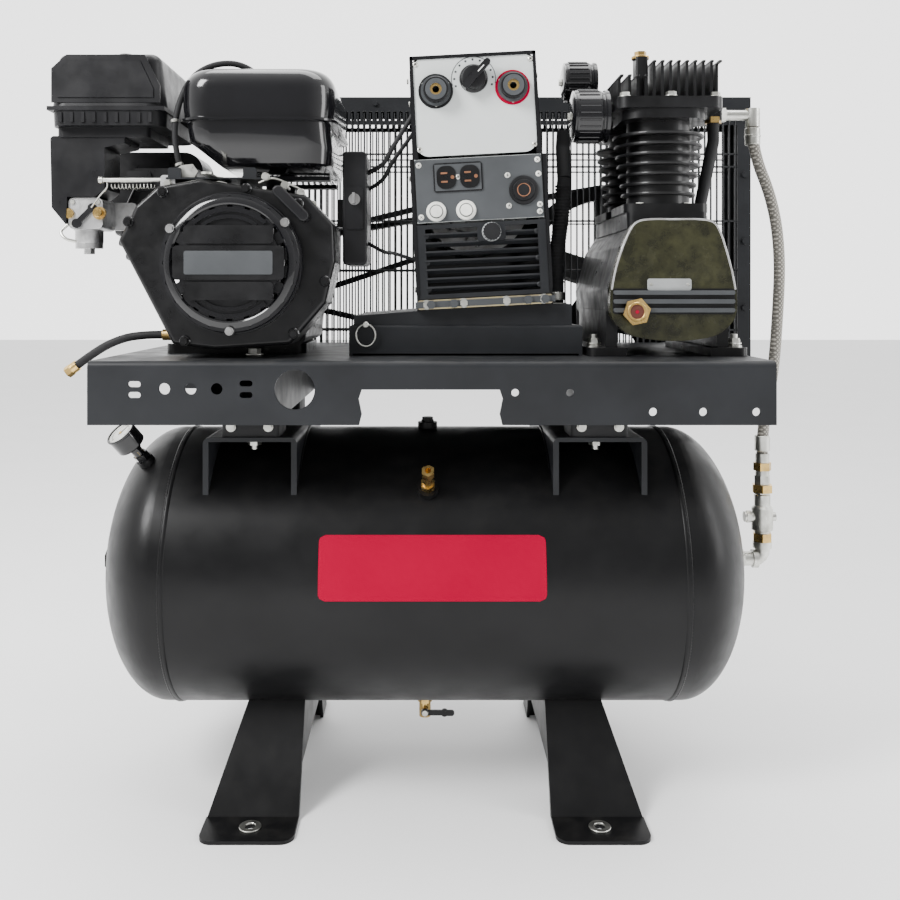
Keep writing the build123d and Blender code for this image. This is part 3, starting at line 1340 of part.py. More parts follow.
with BuildPart() as pump_crankcase:
    with BuildSketch(along_y(PUMP_X, PUMP_Z, PUMP_Y0)):
        with BuildLine():
            Polyline(pump_profile(), close=True)
        make_face()
    extrude(amount=PUMP_Y1 - PUMP_Y0)
    fillet(pump_crankcase.edges().filter_by(Axis.Y), 10)
    with BuildSketch(Plane.XY.offset(DECK_Z)):
        with Locations((PUMP_X, -24)):
            RectangleRounded(224, 262, 12)
            Rectangle(118, 300, mode=Mode.SUBTRACT)
    extrude(amount=12)
    for x in (-78, 78):
        with BuildSketch(Plane.XY.offset(DECK_Z + 12)):
            with Locations((PUMP_X + x, -24)):
                Rectangle(16, 240)
        extrude(amount=60)
    with BuildSketch(Plane.XY.offset(PUMP_TOP - 10)):
        with Locations((PUMP_X, sum(CYL_YS) / 2)):
            RectangleRounded(112, 266, 10)
    extrude(amount=CYL_BASE_Z - PUMP_TOP + 10)
    with BuildSketch(along_y(PUMP_X, PUMP_Z, PUMP_Y0 + 8)):
        RectangleRounded(118, 110, 20)
    extrude(amount=PUMP_Y1 - PUMP_Y0 - 16, mode=Mode.SUBTRACT)
    with BuildSketch(Plane.XY.offset(PUMP_Z)):
        with Locations(*[(PUMP_X, y) for y in CYL_YS]):
            Circle(PUMP_BORE_R + 4)
    extrude(amount=CYL_BASE_Z - PUMP_Z + 1, mode=Mode.SUBTRACT)
    with BuildSketch(along_y(PUMP_X, PUMP_Z, PUMP_Y0 - 1)):
        Circle(JOURNAL_R + RUN_GAP)
    extrude(amount=PUMP_Y1 - PUMP_Y0 + 2, mode=Mode.SUBTRACT)
    with BuildSketch(Plane.XY.offset(DECK_Z - 1)):
        with Locations((PUMP_X, -24)):
            with GridLocations(200, 200, 2, 2):
                Circle(5.5)
    extrude(amount=14, mode=Mode.SUBTRACT)
pump_crankcase.part.label = "pump_crankcase"
export_step(pump_crankcase.part, "parts/pump_crankcase.step")

with BuildPart() as pump_front_cover:
    with BuildSketch(along_y(PUMP_X, PUMP_Z, COVER_Y0 + 6)):
        with BuildLine():
            Polyline(pump_profile(), close=True)
        make_face()
        offset(amount=-1)
    extrude(amount=PUMP_Y0 - COVER_Y0 - 6)
    fillet(pump_front_cover.edges().filter_by(Axis.Y), 12)
    fillet(pump_front_cover.faces().sort_by(Axis.Y)[0].edges(), 5)
    for z in (-28, -46):
        with BuildSketch(along_y(PUMP_X, PUMP_Z + z, COVER_Y0)):
            with Locations((2, 0)):
                Rectangle(150, 7)
        extrude(amount=8)
    with BuildSketch(along_y(PUMP_X - 7, PUMP_Z - 13, COVER_Y0 + 4)):
        RectangleRounded(58, 15, 2)
    extrude(amount=4)
    with BuildSketch(along_y(PUMP_X - 54, PUMP_Z - 50, COVER_Y0)):
        Circle(20)
    extrude(amount=12)
    with BuildSketch(along_y(PUMP_X - 54, PUMP_Z - 50, COVER_Y0)):
        Circle(9)
    extrude(amount=12, mode=Mode.SUBTRACT)
pump_front_cover.part.label = "pump_front_cover"
export_step(pump_front_cover.part, "parts/pump_front_cover.step")

FINS = 7
with BuildPart() as pump_cylinders:
    for y in CYL_YS:
        with BuildSketch(Plane.XY.offset(CYL_BASE_Z)):
            with Locations((PUMP_X, y)):
                RectangleRounded(118, 122, 16)
        extrude(amount=12)
        with BuildSketch(Plane.XY.offset(CYL_BASE_Z + 12)):
            with Locations((PUMP_X, y)):
                Circle(45)
        extrude(amount=HEAD_Z - CYL_BASE_Z - 12)
        for fin in range(FINS):
            with BuildSketch(Plane.XY.offset(866 + 14 * fin)):
                with Locations((PUMP_X, y)):
                    Circle(52 + 2 * fin)
            extrude(amount=4.5)
        with BuildSketch(Plane.XY.offset(HEAD_Z - 14)):
            with Locations((PUMP_X, y)):
                RectangleRounded(118, 122, 30)
        extrude(amount=14)
        with BuildSketch(Plane.XY.offset(CYL_BASE_Z - 1)):
            with Locations((PUMP_X, y)):
                Circle(PUMP_BORE_R)
        extrude(amount=HEAD_Z - CYL_BASE_Z + 2, mode=Mode.SUBTRACT)
pump_cylinders.part.label = "pump_cylinders"
export_step(pump_cylinders.part, "parts/pump_cylinders.step")

with BuildPart() as pump_pistons:
    for y, height in zip(CYL_YS, (884, 922)):
        with BuildSketch(Plane.XY.offset(height)):
            with Locations((PUMP_X, y)):
                Circle(PUMP_BORE_R - 0.3)
        extrude(amount=44)
        with BuildSketch(Plane.XY.offset(height - 1)):
            with Locations((PUMP_X, y)):
                Circle(PUMP_BORE_R - 6)
        extrude(amount=38, mode=Mode.SUBTRACT)
pistons = Compound(label="pistons", children=[engine_piston.part, pump_pistons.part])
export_step(pistons, "parts/pistons.step")

# Head over both cylinders: plate, upright fins, and the discharge port on the right
HEAD_X0, HEAD_X1 = 270.0, 420.0
HEAD_Y0, HEAD_Y1 = -152.0, 116.0
with BuildPart() as pump_head:
    with BuildSketch(Plane.XY.offset(HEAD_Z)):
        with Locations(((HEAD_X0 + HEAD_X1) / 2, (HEAD_Y0 + HEAD_Y1) / 2)):
            RectangleRounded(HEAD_X1 - HEAD_X0, HEAD_Y1 - HEAD_Y0, 18)
    extrude(amount=16)
    for fin in range(13):
        low = fin < 4
        with BuildSketch(Plane.XY.offset(HEAD_Z + 16)):
            with Locations((HEAD_X0 + 6 + 11.5 * fin, (HEAD_Y0 + HEAD_Y1) / 2)):
                Rectangle(4, HEAD_Y1 - HEAD_Y0 - (44 if fin in (0, 12) else 16))
        extrude(amount=30 if low else 50)
    with BuildSketch(Plane.XY.offset(HEAD_Z + 16)):
        with Locations((308, -118)):
            RectangleRounded(17, 26, 3)
    extrude(amount=60)
    with BuildSketch(Plane.XY.offset(HEAD_Z + 4)):
        with Locations((436, 0)):
            RectangleRounded(34, 60, 5)
    extrude(amount=24)
pump_head.part.label = "pump_head"
export_step(pump_head.part, "parts/pump_head.step")

with BuildPart() as pump_crankshaft:
    with BuildSketch(along_y(PUMP_X, PUMP_Z, PUMP_Y0 + 1)):
        Circle(JOURNAL_R)
    extrude(amount=22)
    with BuildSketch(along_y(PUMP_X, PUMP_Z, 100)):
        Circle(JOURNAL_R)
    extrude(amount=PUMP_BELT_YS[1] + 10 - 100)
    for y in (PUMP_Y0 + 23, -36, -12, 90):
        with BuildSketch(along_y(PUMP_X, PUMP_Z, y)):
            Circle(48)
        extrude(amount=10)
    for y0, y1, side in ((PUMP_Y0 + 33, -36, 1), (-26, -12, 0), (-2, 90, -1)):
        with BuildSketch(along_y(PUMP_X, PUMP_Z + 24 * side, y0)):
            Circle(16)
        extrude(amount=y1 - y0)
pump_crankshaft.part.label = "pump_crankshaft"
export_step(pump_crankshaft.part, "parts/pump_crankshaft.step")

# Intake filters on the head's left: drums lying across, with a neck to the head
with BuildPart() as intake_filters:
    for x0, y, z, radius in ((214, -98, 982, 37), (218, 24, 1058, 30)):
        with BuildSketch(along_x(y, z, x0)):
            Circle(radius)
        extrude(amount=40)
        with BuildSketch(along_x(y, z, x0 + 40)):
            Circle(radius - 5)
        extrude(amount=4)
        with BuildSketch(along_x(y, z, x0 + 44)):
            Circle(radius)
        extrude(amount=6)
    with BuildSketch(along_x(-98, 995, 264)):
        Circle(8)
    extrude(amount=6)
    with BuildSketch(Plane.XY.offset(HEAD_Z + 5)):
        with Locations((262, 24)):
            RectangleRounded(16, 20, 4)
    extrude(amount=50)
intake_filters.part.label = "intake_filters"
export_step(intake_filters.part, "parts/intake_filters.step")

with BuildPart() as pump_pipes:
    with BuildLine():
        breather = FilletPolyline(
            (440, -22, HEAD_Z + 4), (440, -24, 958), (416, -40, 862), (414, -44, 800), radius=30,
        )
    with BuildSketch(facing(breather @ 0, breather % 0)):
        Circle(9)
    sweep(path=breather)
    with BuildLine():
        conduit = FilletPolyline(
            (212, -30, 900), (206, -40, 840), (197, -50, 780), (197, -50, 711), radius=60,
        )
    with BuildSketch(facing(conduit @ 0, conduit % 0)):
        Circle(11)
    sweep(path=conduit)
    with BuildLine():
        riser = FilletPolyline((214, -10, 975), (212, -12, 950), (212, -30, 900), radius=30)
    with BuildSketch(facing(riser @ 0, riser % 0)):
        Circle(11)
    sweep(path=riser)
    add(pump_crankcase.part, mode=Mode.SUBTRACT)
    add(intake_filters.part, mode=Mode.SUBTRACT)
    add(pump_head.part, mode=Mode.SUBTRACT)
pump_pipes.part.label = "pump_pipes"
export_step(pump_pipes.part, "parts/pump_pipes.step")

# Safety relief valve on the discharge port, and its pull ring
RELIEF_X, RELIEF_Y = 436.0, 14.0
RELIEF_TOP = HEAD_Z + 58
with BuildPart() as relief_valve:
    with BuildSketch(Plane.XY.offset(HEAD_Z + 28)):
        with Locations((RELIEF_X, RELIEF_Y)):
            RegularPolygon(9, 6)
    extrude(amount=8)
    with BuildSketch(Plane.XY.offset(HEAD_Z + 36)):
        with Locations((RELIEF_X, RELIEF_Y)):
            Circle(7)
    extrude(amount=RELIEF_TOP - HEAD_Z - 36)
    with BuildSketch(Plane.XY.offset(RELIEF_TOP - 12)):
        with Locations((RELIEF_X, RELIEF_Y)):
            Circle(2.1)
    extrude(amount=13, mode=Mode.SUBTRACT)
with BuildPart() as relief_ring:
    with BuildSketch(Plane.XY.offset(RELIEF_TOP - 7)):
        with Locations((RELIEF_X, RELIEF_Y)):
            Circle(2)
    extrude(amount=11)
    with BuildSketch(along_y(RELIEF_X, RELIEF_TOP + 13, RELIEF_Y - 1)):
        Circle(10)
        Circle(7.6, mode=Mode.SUBTRACT)
    extrude(amount=2)
relief_ring.part.label = "relief_ring"
export_step(relief_ring.part, "parts/relief_ring.step")

# ---------------------------------------------------------------- belt drive and guard


def groove_cut(radius, y):
    """Outer and inner radius of one belt groove, and where its two faces are along the shaft."""
    return radius + 1, radius - BELT_DEEP, y - BELT_WIDE / 2 - BELT_GAP, y + BELT_WIDE / 2 + BELT_GAP


with BuildPart() as engine_pulley:
    with BuildSketch(along_y(ENGINE_X, ENGINE_Z, GEN_BELT_Y - 9)):
        Circle(ENGINE_PULLEY_R)
        Circle(CRANK_SHAFT_R, mode=Mode.SUBTRACT)
    extrude(amount=PUMP_BELT_YS[1] - GEN_BELT_Y + 18)
    for y in (GEN_BELT_Y, *PUMP_BELT_YS):
        outer, inner, y0, y1 = groove_cut(ENGINE_PULLEY_R, y)
        with BuildSketch(along_y(ENGINE_X, ENGINE_Z, y0)):
            Circle(outer)
            Circle(inner, mode=Mode.SUBTRACT)
        extrude(amount=y1 - y0, mode=Mode.SUBTRACT)
engine_pulley.part.label = "engine_pulley"
export_step(engine_pulley.part, "parts/engine_pulley.step")

with BuildPart() as generator_pulley:
    with BuildSketch(along_y(GEN_X, GEN_Z, GEN_BELT_Y - 10)):
        Circle(GEN_PULLEY_R)
        Circle(SHAFT_R, mode=Mode.SUBTRACT)
    extrude(amount=20)
    outer, inner, y0, y1 = groove_cut(GEN_PULLEY_R, GEN_BELT_Y)
    with BuildSketch(along_y(GEN_X, GEN_Z, y0)):
        Circle(outer)
        Circle(inner, mode=Mode.SUBTRACT)
    extrude(amount=y1 - y0, mode=Mode.SUBTRACT)
generator_pulley.part.label = "generator_pulley"
export_step(generator_pulley.part, "parts/generator_pulley.step")

# Pump flywheel: grooved rim, hub, and five raked arms that fan air at the cylinders
ARMS = 5
with BuildPart() as pump_flywheel:
    with BuildSketch(along_y(PUMP_X, PUMP_Z, PUMP_BELT_YS[0] - 9)):
        Circle(PUMP_PULLEY_R)
        Circle(PUMP_PULLEY_R - 26, mode=Mode.SUBTRACT)
        Circle(36)
        Circle(JOURNAL_R, mode=Mode.SUBTRACT)
    extrude(amount=PUMP_BELT_YS[1] - PUMP_BELT_YS[0] + 18)
    for arm in range(ARMS):
        angle = math.radians(360 / ARMS * arm + 18)
        mid = (PUMP_PULLEY_R + 8) / 2
        centre = (PUMP_X + mid * math.cos(angle), (PUMP_BELT_YS[0] + PUMP_BELT_YS[1]) / 2,
                  PUMP_Z + mid * math.sin(angle))
        out = Vector(math.cos(angle), 0, math.sin(angle))
        with BuildSketch(Plane(origin=centre, x_dir=(0, 1, 0), z_dir=out)):
            Rectangle(12, 54, rotation=32)
        extrude(amount=60, both=True)
    for y in PUMP_BELT_YS:
        outer, inner, y0, y1 = groove_cut(PUMP_PULLEY_R, y)
        with BuildSketch(along_y(PUMP_X, PUMP_Z, y0)):
            Circle(outer)
            Circle(inner, mode=Mode.SUBTRACT)
        extrude(amount=y1 - y0, mode=Mode.SUBTRACT)
pump_flywheel.part.label = "pump_flywheel"
export_step(pump_flywheel.part, "parts/pump_flywheel.step")

# Belts: each the hull of two circles, less a smaller hull
with BuildPart() as drive_belts:
    for far_x, far_z, far_r, y in (
        (GEN_X, GEN_Z, GEN_PULLEY_R, GEN_BELT_Y),
        (PUMP_X, PUMP_Z, PUMP_PULLEY_R, PUMP_BELT_YS[0]),
        (PUMP_X, PUMP_Z, PUMP_PULLEY_R, PUMP_BELT_YS[1]),
    ):
        for inward, mode in ((-1.0, Mode.ADD), (BELT_DEEP - BELT_GAP, Mode.SUBTRACT)):
            with BuildSketch(along_y(0, 0, y - BELT_WIDE / 2)):
                with Locations((ENGINE_X, -ENGINE_Z)):
                    Circle(ENGINE_PULLEY_R - inward)
                with Locations((far_x, -far_z)):
                    Circle(far_r - inward)
                make_hull()
            extrude(amount=BELT_WIDE, mode=mode)
drive_belts.part.label = "drive_belts"
export_step(drive_belts.part, "parts/drive_belts.step")

GUARD_X0, GUARD_X1 = -335.0, 589.0
GUARD_Z0, GUARD_Z1 = 562.0, 1081.0
GUARD_MID_X, GUARD_MID_Z = (GUARD_X0 + GUARD_X1) / 2, (GUARD_Z0 + GUARD_Z1) / 2
GUARD_RAIL = 24.0
GUARD_SKIN = 2.5
guard_long, guard_tall = GUARD_X1 - GUARD_X0, GUARD_Z1 - GUARD_Z0
GUARD_BAND = 26.0
SLOT_PITCH = 11.0

with BuildPart() as belt_guard_frame:
    with BuildSketch(along_y(GUARD_MID_X, GUARD_MID_Z, GUARD_Y0)):
        Rectangle(guard_long, guard_tall)
        Rectangle(guard_long - 2 * GUARD_SKIN, guard_tall - 2 * GUARD_SKIN, mode=Mode.SUBTRACT)
    extrude(amount=GUARD_Y1 - GUARD_Y0)
    for y in (GUARD_Y0, GUARD_Y1 - GUARD_SKIN):
        with BuildSketch(along_y(GUARD_MID_X, GUARD_MID_Z, y)):
            Rectangle(guard_long, guard_tall)
            with Locations((0, GUARD_BAND / 2)):
                Rectangle(
                    guard_long - 2 * GUARD_RAIL,
                    guard_tall - 2 * GUARD_RAIL - GUARD_BAND,
                    mode=Mode.SUBTRACT,
                )
            with Locations((0, -guard_tall / 2 + GUARD_RAIL + GUARD_BAND / 2 - 3)):
                with GridLocations(SLOT_PITCH, 1, int((guard_long - 60) / SLOT_PITCH), 1):
                    Rectangle(6, 17, mode=Mode.SUBTRACT)
        extrude(amount=GUARD_SKIN)
belt_guard_frame.part.label = "belt_guard_frame"
export_step(belt_guard_frame.part, "parts/belt_guard_frame.step")

WIRE = 2.4
WIRE_PITCH = 11.0
WIRE_ROWS = (978.0, 955.0, 857.0, 768.0, 660.0)
SHAFT_WINDOWS = ((ENGINE_X, ENGINE_Z, 34), (GEN_X, GEN_Z, 34), (PUMP_X, PUMP_Z, 40))
with BuildPart() as belt_guard_mesh:
    for y, windows in ((GUARD_Y0 + GUARD_SKIN, SHAFT_WINDOWS), (GUARD_Y1 - GUARD_SKIN - WIRE, ())):
        with BuildSketch(along_y(0, 0, y)):
            with Locations((GUARD_MID_X, -GUARD_MID_Z + GUARD_BAND / 2)):
                with GridLocations(WIRE_PITCH, 1, int((guard_long - 2 * GUARD_RAIL) / WIRE_PITCH) + 1, 1):
                    Rectangle(WIRE, guard_tall - 2 * GUARD_RAIL - GUARD_BAND + 12)
            for z in WIRE_ROWS:
                with Locations((GUARD_MID_X, -z)):
                    Rectangle(guard_long - 2 * GUARD_RAIL + 12, WIRE)
            for x, z, radius in windows:
                with Locations((x, -z)):
                    Circle(radius + 4)
                    Circle(radius, mode=Mode.SUBTRACT)
        extrude(amount=WIRE)
belt_guard_mesh.part.label = "belt_guard_mesh"
export_step(belt_guard_mesh.part, "parts/belt_guard_mesh.step")

# ---------------------------------------------------------------- hoses and fittings

HOSE_R = 8.5
HOSE_ROUTE = (
    (508, 0, 984), (508, 0, 948), (540, 0, 868), (551, 0, 785),
    (547, 0, 690), (540, 0, 600), (523, 0, 518), (523, 0, 478),
)
DRAIN_HOSE_R = 6.0
DRAIN_ROUTE = ((-380, -98, 666), (-416, -98, 666), (-450, -98, 657), (-480, -98, 640), (-504, -98, 622))
RUN_SHARE = 0.45


def bend_radii(route):
    """Radius of the arc at each inner point: as large as its two runs allow."""
    points = [Vector(*point) for point in route]
    radii = []
    for before, here, after in zip(points, points[1:], points[2:]):
        turn = math.radians((here - before).get_angle(after - here))
        shorter = min((here - before).length, (after - here).length)
        radii.append(RUN_SHARE * shorter / math.tan(turn / 2))
    return radii


def hose(route, radius, label):
    """Round hose along a route, with its radii, volume and length printed."""
    radii = bend_radii(route)
    with BuildPart() as one:
        with BuildLine():
            path = FilletPolyline(*route, radius=radii)
        with BuildSketch(facing(path @ 0, path % 0)):
            Circle(radius)
        sweep(path=path)
    ideal = math.pi * radius**2 * path.length
    print(label, "radii", [round(r) for r in radii], "length", round(path.length, 1),
          "volume over section x length", round(one.part.volume / ideal, 4))
    return one.part


discharge_hose = hose(HOSE_ROUTE, HOSE_R, "discharge_hose")
discharge_hose.label = "discharge_hose"
export_step(discharge_hose, "parts/discharge_hose.step")
oil_drain_hose = hose(DRAIN_ROUTE, DRAIN_HOSE_R, "oil_drain_hose")
oil_drain_hose.label = "oil_drain_hose"
export_step(oil_drain_hose, "parts/oil_drain_hose.step")

with BuildPart() as hose_tails:
    top_x, _, top_z = HOSE_ROUTE[0]
    low_x, _, low_z = HOSE_ROUTE[-1]
    with BuildSketch(along_x(0, HEAD_Z + 16, 453)):
        RegularPolygon(12, 6)
    extrude(amount=12)
    with BuildSketch(along_x(0, HEAD_Z + 16, 465)):
        Circle(8)
    extrude(amount=top_x - 465)
    with BuildSketch(Plane.XY.offset(top_z)):
        with Locations((top_x, 0)):
            Circle(11)
    extrude(amount=HEAD_Z + 26 - top_z)
    with BuildSketch(Plane.XY.offset(CHECK_Z0 + 88)):
        with Locations((low_x, 0)):
            RegularPolygon(12, 6)
    extrude(amount=14)
    with BuildSketch(Plane.XY.offset(CHECK_Z0 + 102)):
        with Locations((low_x, 0)):
            Circle(10.5)
    extrude(amount=low_z - CHECK_Z0 - 102)
hose_fittings = Compound(label="hose_fittings", children=[tank_elbow.part, hose_tails.part])
export_step(hose_fittings, "parts/hose_fittings.step")

with BuildPart() as drain_hose_ends:
    start, end = Vector(*DRAIN_ROUTE[0]), Vector(*DRAIN_ROUTE[-1])
    with BuildSketch(facing(start, (1, 0, 0))):
        Circle(8)
    extrude(amount=16)
    with BuildSketch(facing(start + Vector(16, 0, 0), (1, 0, 0))):
        RegularPolygon(9, 6)
    extrude(amount=ENGINE_X - 92 - start.X - 16)
    far = (end - Vector(*DRAIN_ROUTE[-2])).normalized()
    with BuildSketch(facing(end, far)):
        Circle(8)
    extrude(amount=10)
    with BuildSketch(facing(end + far * 10, far)):
        RegularPolygon(8.5, 6)
    extrude(amount=9)

# Pump oil sight glass and drain plug
with BuildPart() as sight_glass:
    with BuildSketch(along_y(PUMP_X - 54, PUMP_Z - 50, COVER_Y0)):
        RegularPolygon(17, 6)
        Circle(10, mode=Mode.SUBTRACT)
    extrude(amount=-8)
    with BuildSketch(along_y(PUMP_X - 54, PUMP_Z - 50, COVER_Y0 + 12)):
        Circle(9)
    extrude(amount=-16)
brass_fittings = Compound(
    label="brass_fittings",
    children=[
        front_outlet.part,
        drain_cock.part,
        drain_hose_ends.part,
        sight_glass.part,
        relief_valve.part,
    ],
)
export_step(brass_fittings, "parts/brass_fittings.step")

with BuildPart() as pump_foot_bolts:
    for x in (PUMP_X - 100, PUMP_X + 100):
        for y in (-124, 76):
            with BuildSketch(Plane.XY.offset(DECK_Z)):
                with Locations((x, y)):
                    Circle(5)
            extrude(amount=30)
            with BuildSketch(Plane.XY.offset(DECK_Z + 12)):
                with Locations((x, y)):
                    Circle(11)
            extrude(amount=2)
            with BuildSketch(Plane.XY.offset(DECK_Z + 14)):
                with Locations((x, y)):
                    RegularPolygon(9, 6)
            extrude(amount=8)
mounting_bolts = Compound(
    label="mounting_bolts",
    children=[deck_bolts.part, engine_foot_bolts.part, pump_foot_bolts.part],
)
export_step(mounting_bolts, "parts/mounting_bolts.step")
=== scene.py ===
"""Looks of the engine-driven compressor and welder on its air tank.

Metres, in the frame of the CAD model. Dimensions given to the shape makers are millimetres.
"""
import math
import random

import bmesh
import bpy
from mathutils import Matrix, Vector


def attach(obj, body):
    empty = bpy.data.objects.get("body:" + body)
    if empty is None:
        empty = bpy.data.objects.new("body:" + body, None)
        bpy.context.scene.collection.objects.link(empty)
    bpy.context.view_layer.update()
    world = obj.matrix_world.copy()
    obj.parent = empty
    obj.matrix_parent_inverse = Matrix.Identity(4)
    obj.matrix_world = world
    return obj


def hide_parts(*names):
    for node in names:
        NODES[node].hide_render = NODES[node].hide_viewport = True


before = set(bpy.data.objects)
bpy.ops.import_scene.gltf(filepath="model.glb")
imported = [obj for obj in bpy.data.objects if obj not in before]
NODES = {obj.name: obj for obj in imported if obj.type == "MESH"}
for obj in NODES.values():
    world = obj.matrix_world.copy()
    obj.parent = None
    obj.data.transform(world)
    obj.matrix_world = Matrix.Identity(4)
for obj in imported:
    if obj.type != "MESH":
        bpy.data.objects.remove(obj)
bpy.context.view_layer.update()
MM = 0.001
X, Y, Z = Vector((1, 0, 0)), Vector((0, 1, 0)), Vector((0, 0, 1))
FRONT = -Y
random.seed(7)


# ---------------------------------------------------------------- camera

EYE = Vector((0, -1.52, 0.725))
LENS = 39.2
SHIFT_X, SHIFT_Y = 0.0278, -0.1733

camera_data = bpy.data.cameras.new("camera")
camera_data.lens = LENS
camera_data.shift_x = SHIFT_X
camera_data.shift_y = SHIFT_Y
camera_data.clip_end = 50
camera = bpy.data.objects.new("camera", camera_data)
camera.location = EYE
camera.rotation_euler = (math.radians(90), 0, 0)
bpy.context.scene.collection.objects.link(camera)
bpy.context.scene.camera = camera


# ---------------------------------------------------------------- materials


MATERIALS = {}


class Finish:
    """A node material on one Principled shader, with small helpers for textures."""

    def __init__(self, name, color, rough, metallic=0.0, coat=0.0, specular=0.3):
        self.material = bpy.data.materials.new(name)
        MATERIALS[name] = self.material
        self.material.use_nodes = True
        self.nodes = self.material.node_tree.nodes
        self.links = self.material.node_tree.links
        self.shader = self.nodes["Principled BSDF"]
        self.set("Base Color", (*color, 1))
        self.set("Roughness", rough)
        self.set("Metallic", metallic)
        self.set("Coat Weight", coat)
        self.set("Coat Roughness", 0.08)
        self.set("Specular IOR Level", specular)
        self.place = self.nodes.new("ShaderNodeTexCoord").outputs["Object"]

    def set(self, socket, value):
        """Puts a constant on one of the shader's own sockets."""
        self.shader.inputs[socket].default_value = value

    def feed(self, socket, value):
        """Links a socket's value to an input, or puts a constant on it."""
        if isinstance(value, bpy.types.NodeSocket):
            self.links.new(value, socket)
        else:
            socket.default_value = value

    def node(self, kind, **inputs):
        """A new node, its inputs given by name as values or as sockets to link."""
        made = self.nodes.new("ShaderNode" + kind)
        for key, value in inputs.items():
            self.feed(made.inputs[key.replace("_", " ")], value)
        return made

    def noise(self, scale, detail=3.0, rough=0.55):
        """Value of a noise at so many cells a metre."""
        made = self.node("TexNoise", Vector=self.place, Scale=scale, Detail=detail, Roughness=rough)
        return made.outputs["Fac"]

    def spread(self, value, low, high, out_low=0.0, out_high=1.0):
        """Maps a value's low..high to out_low..out_high, clamped."""
        made = self.node("MapRange", Value=value, From_Min=low, From_Max=high,
                         To_Min=out_low, To_Max=out_high)
        return made.outputs["Result"]

    def math(self, operation, first, second):
        """A maths node on two values."""
        made = self.nodes.new("ShaderNodeMath")
        made.operation = operation
        self.feed(made.inputs[0], first)
        self.feed(made.inputs[1], second)
        return made.outputs[0]

    def mix(self, factor, first, second):
        """Blend of two colours, each a triple or a socket."""
        made = self.nodes.new("ShaderNodeMix")
        made.data_type = "RGBA"
        self.feed(made.inputs[0], factor)
        for index, value in ((6, first), (7, second)):
            self.feed(made.inputs[index], (*value, 1) if isinstance(value, tuple) else value)
        return made.outputs[2]

    def settled(self, scale, detail, low, high, amount):
        """Amount of dust: patches of it, on what faces up."""
        normal = self.nodes.new("ShaderNodeNewGeometry").outputs["Normal"]
        apart = self.node("SeparateXYZ", Vector=normal)
        facing_up = self.spread(apart.outputs["Z"], 0.3, 1.0)
        patches = self.spread(self.noise(scale, detail), low, high, 0.0, amount)
        return self.math("MULTIPLY", facing_up, patches)

    def color(self, value):
        """Links the base colour."""
        self.links.new(value, self.shader.inputs["Base Color"])

    def rough(self, value):
        """Links the roughness."""
        self.links.new(value, self.shader.inputs["Roughness"])

    def bump(self, height, strength, depth_mm):
        """Adds a bump, on top of any before it."""
        made = self.node("Bump", Height=height, Strength=strength, Distance=depth_mm * MM)
        normal = self.shader.inputs["Normal"]
        if normal.is_linked:
            self.links.new(normal.links[0].from_socket, made.inputs["Normal"])
        self.links.new(made.outputs["Normal"], normal)


def shade(color, factor):
    """The colour times a factor."""
    return tuple(min(1.0, channel * factor) for channel in color)


DUST = (0.10, 0.095, 0.085)


def painted(name, color, rough, coat=0.0, peel=0.12, grain=650, dust=0.25, worn=None,
            drift=(0.82, 1.25), specular=0.2):
    """Sprayed or powder-coated metal: orange peel, uneven gloss, dust on top, small chips."""
    made = Finish(name, color, rough, coat=coat, specular=specular)
    cloud = made.noise(9, 4)
    base = made.mix(made.spread(cloud, 0.35, 0.7), shade(color, drift[0]), shade(color, drift[1]))
    settled = made.settled(38, 5, 0.42, 0.8, dust)
    base = made.mix(settled, base, DUST)
    if worn:
        chips = made.spread(made.noise(120, 6, 0.7), 0.735, 0.76)
        base = made.mix(chips, base, worn)
    made.color(base)
    streak = made.spread(made.noise(22, 4), 0.3, 0.75, rough - 0.06, rough + 0.1)
    made.rough(made.math("ADD", streak, made.math("MULTIPLY", settled, 0.4)))
    made.bump(made.noise(grain, 2), peel, 0.25)


def cast_painted(name, color, rough, coat=0.3, mottle=16):
    """Painted sand casting: pebbled skin under gloss enamel."""
    made = Finish(name, color, rough, coat=coat, specular=0.22)
    settled = made.settled(60, 4, 0.4, 0.75, 0.3)
    patches = made.spread(made.noise(mottle, 6, 0.65), 0.36, 0.66)
    base = made.mix(patches, shade(color, 0.5), shade(color, 1.6))
    made.color(made.mix(settled, base, DUST))
    made.rough(made.spread(made.noise(40, 4), 0.3, 0.7, rough - 0.08, rough + 0.14))
    made.bump(made.noise(420, 3), 0.22, 0.3)
    made.bump(made.noise(70, 2), 0.12, 0.5)


def moulded(name, color, rough=0.5, grain=1500, depth=0.2):
    """Moulded plastic or rubber with a fine eroded grain."""
    made = Finish(name, color, rough, specular=0.25)
    tone = made.spread(made.noise(18, 3), 0.35, 0.7)
    base = made.mix(tone, shade(color, 0.8), shade(color, 1.3))
    settled = made.settled(50, 5, 0.45, 0.8, 0.22)
    made.color(made.mix(settled, base, DUST))
    made.rough(made.spread(made.noise(30, 3), 0.3, 0.7, rough - 0.07, rough + 0.1))
    made.bump(made.noise(grain, 2), 0.25, depth)


def bare_metal(name, color, rough, tarnish, grain=260):
    """Bare or plated metal: drifting tone, fine tooling marks, tarnish in patches."""
    made = Finish(name, color, rough, metallic=1.0)
    base = made.mix(made.spread(made.noise(45, 5), 0.42, 0.72), color, tarnish)
    made.color(base)
    made.rough(made.spread(made.noise(90, 4), 0.3, 0.7, rough - 0.08, rough + 0.16))
    made.bump(made.noise(grain, 4), 0.15, 0.15)


